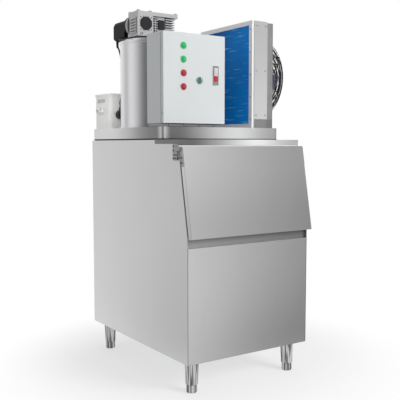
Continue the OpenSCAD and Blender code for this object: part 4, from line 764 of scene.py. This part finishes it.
# gearbox: cover bolts, a ring round the bore cap, and the screws beside it
gearTrim = {
    "boltInset": 0.009, "middleBolt": 0.070, "bolt": (0.0055, 0.0016),
    "bore": (-224, 510, 1611), "ringSeat": 0.004,
    "ring": [(0.0312, -0.001), (0.0312, 0.0032), (0.0322, 0.0042), (0.0362, 0.0042), (0.0374, 0.0030),
             (0.0374, -0.001)],
    "ringScrews": 8, "ringScrewReach": 0.0342, "ringScrewOut": 0.0040, "ringScrew": (0.0019, 0.0016),
    "cornerReach": 0.0275, "cornerDeep": 0.0052, "cornerScrew": (0.0028, 0.004),
    "plug": (-246, 513.5, 1565), "plugHead": (0.0034, 0.0065),
}


def gearboxBolts():
    g = gearTrim
    low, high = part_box("gearbox_cover")
    shape = bmesh.new()
    for x in (low.x + g["boltInset"], low.x + g["middleBolt"], high.x - g["boltInset"]):
        for y in (low.y + g["boltInset"], high.y - g["boltInset"]):
            turned(shape, Vector((x, y, high.z)), (0, 0, 1), socketHead(*g["bolt"]), sides=20)
    piece("coverBolts", shape, "root", "evaporator_steel")
    bore = spot(*g["bore"])
    face = bore + Vector((0, g["ringSeat"], 0))
    shape = bmesh.new()
    turned(shape, face, (0, -1, 0), g["ring"], sides=64)
    piece("capRing", shape, "root", "cast_aluminium")
    shape = bmesh.new()
    for a in around(g["ringScrews"], 22.5):
        reach = g["ringScrewReach"]
        place = Vector((math.cos(a) * reach, -g["ringScrewOut"], math.sin(a) * reach))
        turned(shape, face + place, (0, -1, 0), socketHead(*g["ringScrew"]), sides=12)
    for x in (-1, 1):
        for z in (-1, 1):
            place = bore + Vector((x * g["cornerReach"], g["cornerDeep"], z * g["cornerReach"]))
            turned(shape, place, (0, -1, 0), socketHead(*g["cornerScrew"]), sides=16)
    turned(shape, spot(*g["plug"]), (0, -1, 0), hexHead(*g["plugHead"]), sides=6)
    piece("wormScrews", shape, "root", "black_plastic")


gearboxBolts()


# cast webs in layout millimetres: cross ribs on the gearbox's left side, and short webs beside the bore
castWebs = {"leftX": -268, "front": 510, "foot": 1553, "reach": 2.7, "seat": 0.5,
            "ribs": (526, 538, 550, 562, 574), "ribWide": 4, "ribLow": 15, "ribHigh": 84,
            "webLeft": -186.5, "webRight": -159, "webFront": 1.5, "webBack": 10.5,
            "webs": (10, 21, 32, 43, 54, 65, 76, 87), "webThick": 3.5, "post": (-174, -171), "postFront": 2.5}


def gearboxWebs():
    c = castWebs
    front, back = c["front"] + c["webFront"], c["front"] + c["webBack"]
    shape = bmesh.new()
    for y in c["ribs"]:
        slab(shape, spot(c["leftX"] - c["reach"], y - c["ribWide"] / 2, c["foot"] + c["ribLow"]),
             spot(c["leftX"] + c["seat"], y + c["ribWide"] / 2, c["foot"] + c["ribHigh"]))
    for z in c["webs"]:
        slab(shape, spot(c["webLeft"], front, c["foot"] + z),
             spot(c["webRight"], back, c["foot"] + z + c["webThick"]))
    slab(shape, spot(c["post"][0], c["front"] + c["postFront"], c["foot"] + c["webs"][0]),
         spot(c["post"][1], back, c["foot"] + c["webs"][-1]))
    piece("castWebs", shape, "root", "cast_aluminium", bevel=0.0005)


gearboxWebs()


# drum: lid bolts on washers, the jacket's seam and its two rims
drumForm = {"bolts": 8, "boltReach": 0.131, "lidLift": 0.012, "bolt": (0.0075, 0.0012, 0.0, 0.0055, 0.006),
            "seamAt": 118, "seamReach": 0.1401, "seamWire": 0.0011, "seamLow": 0.008, "seamTop": 0.001,
            "rimReach": 0.1403, "lowRim": 0.0075, "lowWire": 0.0012, "topRim": 0.0006, "topWire": 0.0009}


def drumTrim():
    d = drumForm
    lidLow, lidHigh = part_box("drum_lid")
    low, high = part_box("drum_jacket")
    axis = Vector(((lidLow.x + lidHigh.x) / 2, (lidLow.y + lidHigh.y) / 2, 0))
    shape = bmesh.new()
    for a in around(d["bolts"], 22.5):
        place = Vector((math.cos(a) * d["boltReach"], math.sin(a) * d["boltReach"], high.z + d["lidLift"]))
        turned(shape, axis + place, (0, 0, 1), washerHead(*d["bolt"]), sides=6)
    piece("lidBolts", shape, "root", "evaporator_steel")
    shape = bmesh.new()
    a = math.radians(d["seamAt"])
    seam = axis + Vector((math.cos(a), math.sin(a), 0)) * d["seamReach"]
    ends = (low.z + d["seamLow"], high.z - d["seamTop"])
    tube(shape, [seam + Vector((0, 0, z)) for z in ends], d["seamWire"], 6)
    hoop(shape, axis + Vector((0, 0, low.z + d["lowRim"])), (0, 0, 1), d["rimReach"], d["lowWire"])
    hoop(shape, axis + Vector((0, 0, high.z - d["topRim"])), (0, 0, 1), d["rimReach"], d["topWire"])
    piece("drumSeams", shape, "root", "drum_steel")


drumTrim()


# bezels of the lamps and the selector, the pointer on the knob, and the rivet on the latch handle
panelTrim = {
    "collar": [(0.0112, 0.0), (0.0112, 0.0042), (0.0122, 0.0050), (0.0140, 0.0040), (0.0148, 0.0015),
               (0.0148, 0.0)],
    "rimReach": 0.0151, "rimWire": 0.0009, "rimOut": 0.0006,
    "bezelReach": 0.0137, "bezelWire": 0.0013,
    "teeth": 36, "toothReach": 0.0151, "toothDeep": 0.0006,
    "tooth": [(0, 0), (0.0007, 0), (0.0007, 0.003), (0, 0.003)],
    "pointerHalf": 0.0007, "pointerOut": 0.0003, "pointerDeep": 0.001, "pointerLow": 0.001,
    "pointerTop": 0.0022,
    "rivetUp": 0.009, "rivet": [(0.0024, -0.001), (0.0024, 0.0005), (0.0015, 0.0009), (0, 0.0009)],
}


def middleOf(name):
    low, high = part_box(name)
    return (low + high) / 2


def lampBezels():
    p = panelTrim
    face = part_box("box_door")[0].y
    for colour in ("green", "red"):
        low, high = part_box(colour + "_lamps")
        x, r = (low.x + high.x) / 2, (high.x - low.x) / 2
        shape = bmesh.new()
        rims = bmesh.new()
        for z in (low.z + r, high.z - r):
            turned(shape, Vector((x, face, z)), (0, -1, 0), p["collar"], sides=40)
            hoop(rims, Vector((x, face - p["rimOut"], z)), (0, 1, 0), p["rimReach"], p["rimWire"], 8, 40)
        piece(colour + "Bezels", shape, "panel_door", colour + "_lens")
        piece(colour + "Rims", rims, "panel_door", "evaporator_steel")


def selectorTrim():
    p = panelTrim
    centre = middleOf("selector_switch")
    centre.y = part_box("selector_switch")[0].y
    shape = bmesh.new()
    hoop(shape, centre, (0, 1, 0), p["bezelReach"], p["bezelWire"], 8, 40)
    for a in around(p["teeth"]):
        out = Vector((math.cos(a), 0, math.sin(a)))
        place = centre + out * p["toothReach"] + Vector((0, p["toothDeep"], 0))
        turned(shape, place, (0, 1, 0), p["tooth"], sides=6)
    piece("selectorBezel", shape, "panel_door", "switch_ring")
    low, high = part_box("selector_knob")
    centre = middleOf("selector_knob")
    shape = bmesh.new()
    slab(shape, (centre.x - p["pointerHalf"], low.y - p["pointerOut"], centre.z + p["pointerLow"]),
         (centre.x + p["pointerHalf"], low.y + p["pointerDeep"], high.z - p["pointerTop"]))
    piece("knobPointer", shape, "knob", "white_plastic")


def latchRivet():
    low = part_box("latch_handle")[0]
    shape = bmesh.new()
    place = Vector((middleOf("latch_handle").x, low.y, low.z + panelTrim["rivetUp"]))
    turned(shape, place, (0, -1, 0), panelTrim["rivet"], sides=20)
    piece("latchRivet", shape, "handle", "latch_red")


lampBezels()
selectorTrim()
latchRivet()


# screws of the hinges, with the plate's holes as depth and height from its front top corner
hingeTrim = {
    "plateHoles": [(0.030, -0.058), (0.045, -0.058), (0.060, -0.058), (0.038, -0.044), (0.054, -0.044),
                   (0.060, -0.026), (0.060, -0.008)],
    "plateThick": 0.003, "plateScrew": (0.0036, 0.0022),
    "armTilt": 10.4, "armFootY": 0.0112, "armFootZ": 0.004, "armHoles": (0.012, 0.034),
    "armScrew": (0.004, 0.0024),
}


def hingeScrews():
    h = hingeTrim
    low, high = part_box("hinge_plates")
    shape = bmesh.new()
    for side, x in ((-1, leftSide[0].x - h["plateThick"]), (1, rightSide[1].x + h["plateThick"])):
        for y, z in h["plateHoles"]:
            panScrew(shape, Vector((x, low.y + y, high.z + z)), (side, 0, 0), h["plateScrew"])
    piece("plateScrews", shape, "root", "wire_black")
    low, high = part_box("hinge_arms")
    tilt = math.radians(h["armTilt"])
    slope = Vector((0, math.sin(tilt), math.cos(tilt)))
    shape = bmesh.new()
    for side, x in ((-1, low.x), (1, high.x)):
        foot = Vector((x, low.y + h["armFootY"], low.z + h["armFootZ"]))
        for s in h["armHoles"]:
            panScrew(shape, foot + slope * s, (side, 0, 0), h["armScrew"])
    piece("armScrews", shape, "bin_door", "wire_black")


hingeScrews()


# fine fins and tubes that stand for the coil, and the return bends on its end
coilForm = {"pitch": 0.0024, "thick": 0.0017, "firstFin": 0.0012, "bow": 0.0007, "bowStep": 1.7,
            "tubeRows": 19, "tubeRadius": 0.0048, "tubeInset": 0.012, "stagger": 0.25,
            "bendSeat": 0.0015, "bendReach": 0.011, "bendSteps": 8, "bendSlim": 0.92}


def coilFins():
    c = coilForm
    low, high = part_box("coil")
    shape = bmesh.new()
    for k in range(int((high.y - low.y) / c["pitch"])):
        y = low.y + c["firstFin"] + k * c["pitch"]
        bow = abs(c["bow"] * math.sin(k * c["bowStep"]))
        slab(shape, (low.x + bow, y, low.z), (high.x, y + c["thick"], high.z))
    piece("coilFins", shape, "root", "fin_blue", replaced=["coil"])
    step = (high.z - low.z) / c["tubeRows"]
    rows = [low.z + (row + 0.5) * step for row in range(c["tubeRows"])]
    lift = Vector((0, 0, c["stagger"] * step))
    nearX, farX = low.x + c["tubeInset"], high.x - c["tubeInset"]
    shape = bmesh.new()
    for z in rows:
        for x, shift in ((nearX, -lift), (farX, lift)):
            tube(shape, [Vector((x, y, z)) + shift for y in (low.y, high.y)], c["tubeRadius"], 10)
    piece("coilTubes", shape, "root", "copper", replaced=["coil"])
    shape = bmesh.new()
    for z in rows:
        a = Vector((nearX, high.y + c["bendSeat"], z)) - lift
        b = Vector((farX, high.y + c["bendSeat"], z)) + lift
        bend = []
        for k in range(c["bendSteps"] + 1):
            turn = math.pi * k / c["bendSteps"]
            out = Vector((0, c["bendReach"] * math.sin(turn), 0))
            bend.append((a + b) / 2 - (b - a) / 2 * math.cos(turn) + out)
        tube(shape, bend, c["tubeRadius"] * c["bendSlim"], 8)
    piece("returnBends", shape, "root", "copper")


coilFins()


# the guard's fine wires between its main hoops
guardForm = {"wire": 0.0009, "pitch": 0.0115, "side": 0.070, "rise": 0.060, "hoopWire": 0.0022,
             "firstHoop": 0.008, "firstRing": 0.064, "rimGap": 0.004, "spokes": 30, "spokeStart": 0.001,
             "spokeTurn": 0.004, "spokeIn": 0.0018, "spokeSteps": 8, "hub": 0.056}


def guardWires():
    g = guardForm
    low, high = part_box("fan_guard")
    seat = Vector((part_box("fan_shroud")[1].x, (low.y + high.y) / 2, (low.z + high.z) / 2))
    ahead = Vector((1, 0, 0))
    rim = (high.z - low.z) / 2 - g["hoopWire"]
    domeR = (rim * rim + g["rise"] * g["rise"]) / (2 * g["rise"])
    dome = seat + ahead * (g["side"] + g["rise"] - domeR)
    shape = bmesh.new()
    for k in range(math.ceil((g["side"] - g["firstHoop"]) / g["pitch"])):
        hoop(shape, seat + ahead * (g["firstHoop"] + k * g["pitch"]), ahead, rim, g["wire"])
    for k in range(math.ceil((rim - g["rimGap"] - g["firstRing"]) / g["pitch"])):
        r = g["firstRing"] + k * g["pitch"]
        hoop(shape, dome + ahead * math.sqrt(domeR ** 2 - r ** 2), ahead, r, g["wire"])
    inner = domeR - g["spokeIn"]
    top, end = math.asin(rim / domeR), math.asin(g["hub"] / domeR)
    for a in around(g["spokes"], 180 / g["spokes"]):
        out = Vector((0, math.cos(a), math.sin(a)))
        straight = seat + out * (rim - g["spokeIn"])
        path = [straight + ahead * g["spokeStart"], straight + ahead * (g["side"] - g["spokeTurn"])]
        for k in range(g["spokeSteps"] + 1):
            angle = top - (top - end) * k / g["spokeSteps"]
            path.append(dome + out * inner * math.sin(angle) + ahead * inner * math.cos(angle))
        tube(shape, path, g["wire"], 6)
    piece("guardWires", shape, "root", "wire_black")


guardWires()


# screws on the condenser's cover and frame, the shroud's corners and the guard's foot
sheetTrim = {"coverIn": 0.012, "coverEnd": 0.02, "coverScrew": (0.0042, 0.0026),
             "frameIn": 0.012, "frameEnd": 0.04, "frameRows": 5, "frameScrew": (0.0038, 0.0022),
             "shroudIn": 0.014, "shroudScrew": (0.0045, 0.0028),
             "guardBolts": 6, "guardReach": 0.186, "guardBolt": (0.009, 0.0016, 0.0002, 0.0055, 0.006)}


def sheetScrews():
    s = sheetTrim
    shape = bmesh.new()
    low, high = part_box("cover_plate")
    for z in (low.z + s["coverEnd"], (low.z + high.z) / 2, high.z - s["coverEnd"]):
        for x in (low.x + s["coverIn"], high.x - s["coverIn"]):
            panScrew(shape, Vector((x, low.y, z)), (0, -1, 0), s["coverScrew"])
    low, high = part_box("condenser_frame")
    pitch = (high.z - low.z - 2 * s["frameEnd"]) / (s["frameRows"] - 1)
    for y in (low.y + s["frameIn"], high.y - s["frameIn"]):
        for k in range(s["frameRows"]):
            place = Vector((low.x, y, low.z + s["frameEnd"] + k * pitch))
            panScrew(shape, place, (-1, 0, 0), s["frameScrew"])
    low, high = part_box("fan_shroud")
    for y in (low.y + s["shroudIn"], high.y - s["shroudIn"]):
        for z in (low.z + s["shroudIn"], high.z - s["shroudIn"]):
            panScrew(shape, Vector((high.x, y, z)), (1, 0, 0), s["shroudScrew"])
    centre = middleOf("fan_guard")
    centre.x = high.x
    for a in around(s["guardBolts"], 30):
        place = centre + Vector((0, math.cos(a), math.sin(a))) * s["guardReach"]
        turned(shape, place, (1, 0, 0), washerHead(*s["guardBolt"]), sides=6)
    piece("sheetScrews", shape, "root", "evaporator_steel")


sheetScrews()


# folded channels between the control box and the plinth, with their bolts
boxRail = {"setback": 0.023, "rear": 0.003, "lip": 0.0044, "sheet": 0.002, "inset": 0.004, "bolts": 4,
           "bolt": (0.0042, 0.003)}


def boxRails():
    low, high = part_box("control_box")
    foot, head, sheet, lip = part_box("head_base")[1].z, low.z, boxRail["sheet"], boxRail["lip"]
    left, right = low.x + boxRail["inset"], high.x - boxRail["inset"]
    front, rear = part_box("box_door")[0].y + boxRail["setback"], high.y - boxRail["rear"]
    shape = bmesh.new()
    bolts = bmesh.new()
    for x in (left, right - sheet):
        slab(shape, (x, front + sheet, foot), (x + sheet, rear - sheet, head))
    for web, back in ((front, 1), (rear, -1)):
        for a, b, deep in ((foot, head, sheet), (foot, foot + sheet, lip), (head - sheet, head, lip)):
            far = web + back * deep
            slab(shape, (left, min(web, far), a), (right, max(web, far), b))
        for k in range(boxRail["bolts"]):
            x = left + (right - left) * (k + 0.5) / boxRail["bolts"]
            place = Vector((x, web, (foot + head) / 2))
            turned(bolts, place, (0, -back, 0), hexHead(*boxRail["bolt"]), sides=6)
    piece("boxRails", shape, "root", "hinge_metal")
    piece("boxRailBolts", bolts, "root", "evaporator_steel")


boxRails()


# black lip of the seal along the plinth's foot, kept inside it at the back
sealLip = {"low": -0.0028, "high": 0.0022, "out": 0.0006, "in": -0.002, "back": -0.0002,
           "cornerRadius": 0.022, "cornerSteps": 10}


def lipLoop(out, z):
    low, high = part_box("head_base")
    left, right, front, back = low.x - out, high.x + out, low.y - out, high.y + min(out, sealLip["back"])
    r = sealLip["cornerRadius"] + out
    loop = []
    for x, y, start in ((left + r, front + r, 180), (right - r, front + r, 270), (right - r, back - r, 0),
                        (left + r, back - r, 90)):
        for k in range(sealLip["cornerSteps"] + 1):
            a = math.radians(start + 90 * k / sealLip["cornerSteps"])
            loop.append(Vector((x + r * math.cos(a), y + r * math.sin(a), z)))
    return loop


def plinthLip():
    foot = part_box("head_base")[0].z
    shape = bmesh.new()
    rings = [[shape.verts.new(p) for p in lipLoop(sealLip[out], foot + sealLip[z])]
             for out, z in (("in", "low"), ("out", "low"), ("out", "high"), ("in", "high"))]
    for one, two in zip(rings, rings[1:] + rings[:1]):
        wall(shape, one, two)
    piece("sealLip", shape, "root", "black_rubber")


plinthLip()


# dark joint lines down both sides of the front panel
jointForm = {"inset": 0.0005, "half": 0.0008, "proud": 0.0004, "deep": 0.0002, "below": 0.041}


def panelJoints():
    j = jointForm
    low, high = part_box("front_panel")
    shape = bmesh.new()
    for x in (low.x + j["inset"], high.x - j["inset"]):
        near, far = low.y - j["proud"], low.y + j["deep"]
        slab(shape, (x - j["half"], near, low.z), (x + j["half"], far, high.z - j["below"]))
    piece("panelJoints", shape, "root", "black_rubber")


panelJoints()


# black rubber seal in the gap behind the door, along its four edges
doorSeal = {"gap": 0.008, "near": 0.0004, "far": 0.0066, "width": 0.009, "low": 0.003, "high": 0.372}


def sealBars():
    low, high, width = doorSeal["low"], doorSeal["high"], doorSeal["width"]
    panelLow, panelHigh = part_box("front_panel")
    slant = Vector((0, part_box("top_deck")[0].y - panelLow.y, leftSide[1].z - panelHigh.z)).normalized()
    back = Vector((0, slant.z, -slant.y))
    heel = Vector((0, panelLow.y, panelHigh.z)) - back * doorSeal["gap"]
    left, right = panelLow.x, panelHigh.x
    shape = bmesh.new()
    for x0, x1, u0, u1 in ((left, left + width, low, high), (right - width, right, low, high),
                           (left + width, right - width, low, low + width),
                           (left + width, right - width, high - width, high)):
        verts = [shape.verts.new(Vector((x, 0, 0)) + heel + slant * u + back * n)
                 for x in (x0, x1) for u in (u0, u1) for n in (doorSeal["near"], doorSeal["far"])]
        for face in ((0, 1, 3, 2), (4, 6, 7, 5), (0, 4, 5, 1), (2, 3, 7, 6), (0, 2, 6, 4), (1, 5, 7, 3)):
            shape.faces.new([verts[i] for i in face])
    piece("doorSeal", shape, "bin_door", "black_rubber", bevel=0.0012)


sealBars()


# tank: lid screws, the threads and hexagon nut of its inlet, and its slot with a rim and louvres
tankForm = {
    "lidIn": 0.02, "lidScrew": (0.005, 0.003),
    "threads": 7, "threadStart": 0.0015, "threadPitch": 0.0018, "threadReach": 0.0101, "threadWire": 0.0006,
    "nut": [(0.0212, 0.0002), (0.0212, 0.0065), (0.0198, 0.0092), (0.0106, 0.0093)],
    "slotNear": 0.0505, "slotFar": 0.1355, "slotLow": 0.0335, "slotTop": 0.0155, "slotWire": 0.0008,
    "wallDeep": 0.0022, "wallThick": 0.0006, "wallOver": 0.001,
    "louvres": 5, "louvreStart": 0.001, "louvrePitch": 0.004, "louvreThick": 0.0013, "louvreOut": 0.0012,
    "louvreSeat": 0.0003,
}


def tankTrim():
    t = tankForm
    low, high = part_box("tank_lid")
    shape = bmesh.new()
    for x in (low.x + t["lidIn"], high.x - t["lidIn"]):
        for y in (low.y + t["lidIn"], high.y - t["lidIn"]):
            panScrew(shape, Vector((x, y, high.z)), (0, 0, 1), t["lidScrew"])
    piece("lidScrews", shape, "root", "polished_steel")
    centre = middleOf("inlet_fitting")
    shape = bmesh.new()
    for k in range(t["threads"]):
        centre.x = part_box("inlet_fitting")[0].x + t["threadStart"] + k * t["threadPitch"]
        hoop(shape, centre, (1, 0, 0), t["threadReach"], t["threadWire"], 6, 40)
    centre.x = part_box("water_tank")[0].x
    turned(shape, centre, (-1, 0, 0), t["nut"], sides=6)
    piece("inletNut", shape, "root", "white_plastic")


def tankSlot():
    t = tankForm
    low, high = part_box("water_tank")
    near, far = low.y + t["slotNear"], low.y + t["slotFar"]
    foot, head = high.z - t["slotLow"], high.z - t["slotTop"]
    shape = bmesh.new()
    for z in (foot, head):
        tube(shape, [Vector((low.x, y, z)) for y in (near, far)], t["slotWire"], 6)
    for y in (near, far):
        tube(shape, [Vector((low.x, y, z)) for z in (foot, head)], t["slotWire"], 6)
    piece("slotRim", shape, "root", "tank_steel")
    wall, over = low.x + t["wallDeep"], t["wallOver"]
    shape = bmesh.new()
    slab(shape, (wall, near - over, foot - over), (wall + t["wallThick"], far + over, head + over))
    for k in range(t["louvres"]):
        z = foot + t["louvreStart"] + k * t["louvrePitch"]
        slab(shape, (wall - t["louvreOut"], near, z), (wall + t["louvreSeat"], far, z + t["louvreThick"]))
    piece("slotLouvres", shape, "root", "evaporator_steel")


tankTrim()
tankSlot()


# compressor: the two beads of its shell's weld, and its foot bolts on washers
compressorForm = {"axisY": 0.094, "beads": (0.1314, 0.1434), "beadReach": 0.0915, "beadWire": 0.0018,
                  "footReach": 0.068, "footUp": 0.023, "footBolt": (0.011, 0.0018, 0.0002, 0.0075, 0.010)}


def compressorTrim():
    c = compressorForm
    low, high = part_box("compressor")
    axis = Vector(((low.x + high.x) / 2, low.y + c["axisY"], low.z))
    shape = bmesh.new()
    for h in c["beads"]:
        hoop(shape, axis + Vector((0, 0, h)), (0, 0, 1), c["beadReach"], c["beadWire"])
    piece("shellWeld", shape, "root", "compressor_black")
    shape = bmesh.new()
    for x in (-1, 1):
        for y in (-1, 1):
            place = axis + Vector((x * c["footReach"], y * c["footReach"], c["footUp"]))
            turned(shape, place, (0, 0, 1), washerHead(*c["footBolt"]), sides=6)
    piece("footBolts", shape, "root", "evaporator_steel")


compressorTrim()
print("detail pieces made")
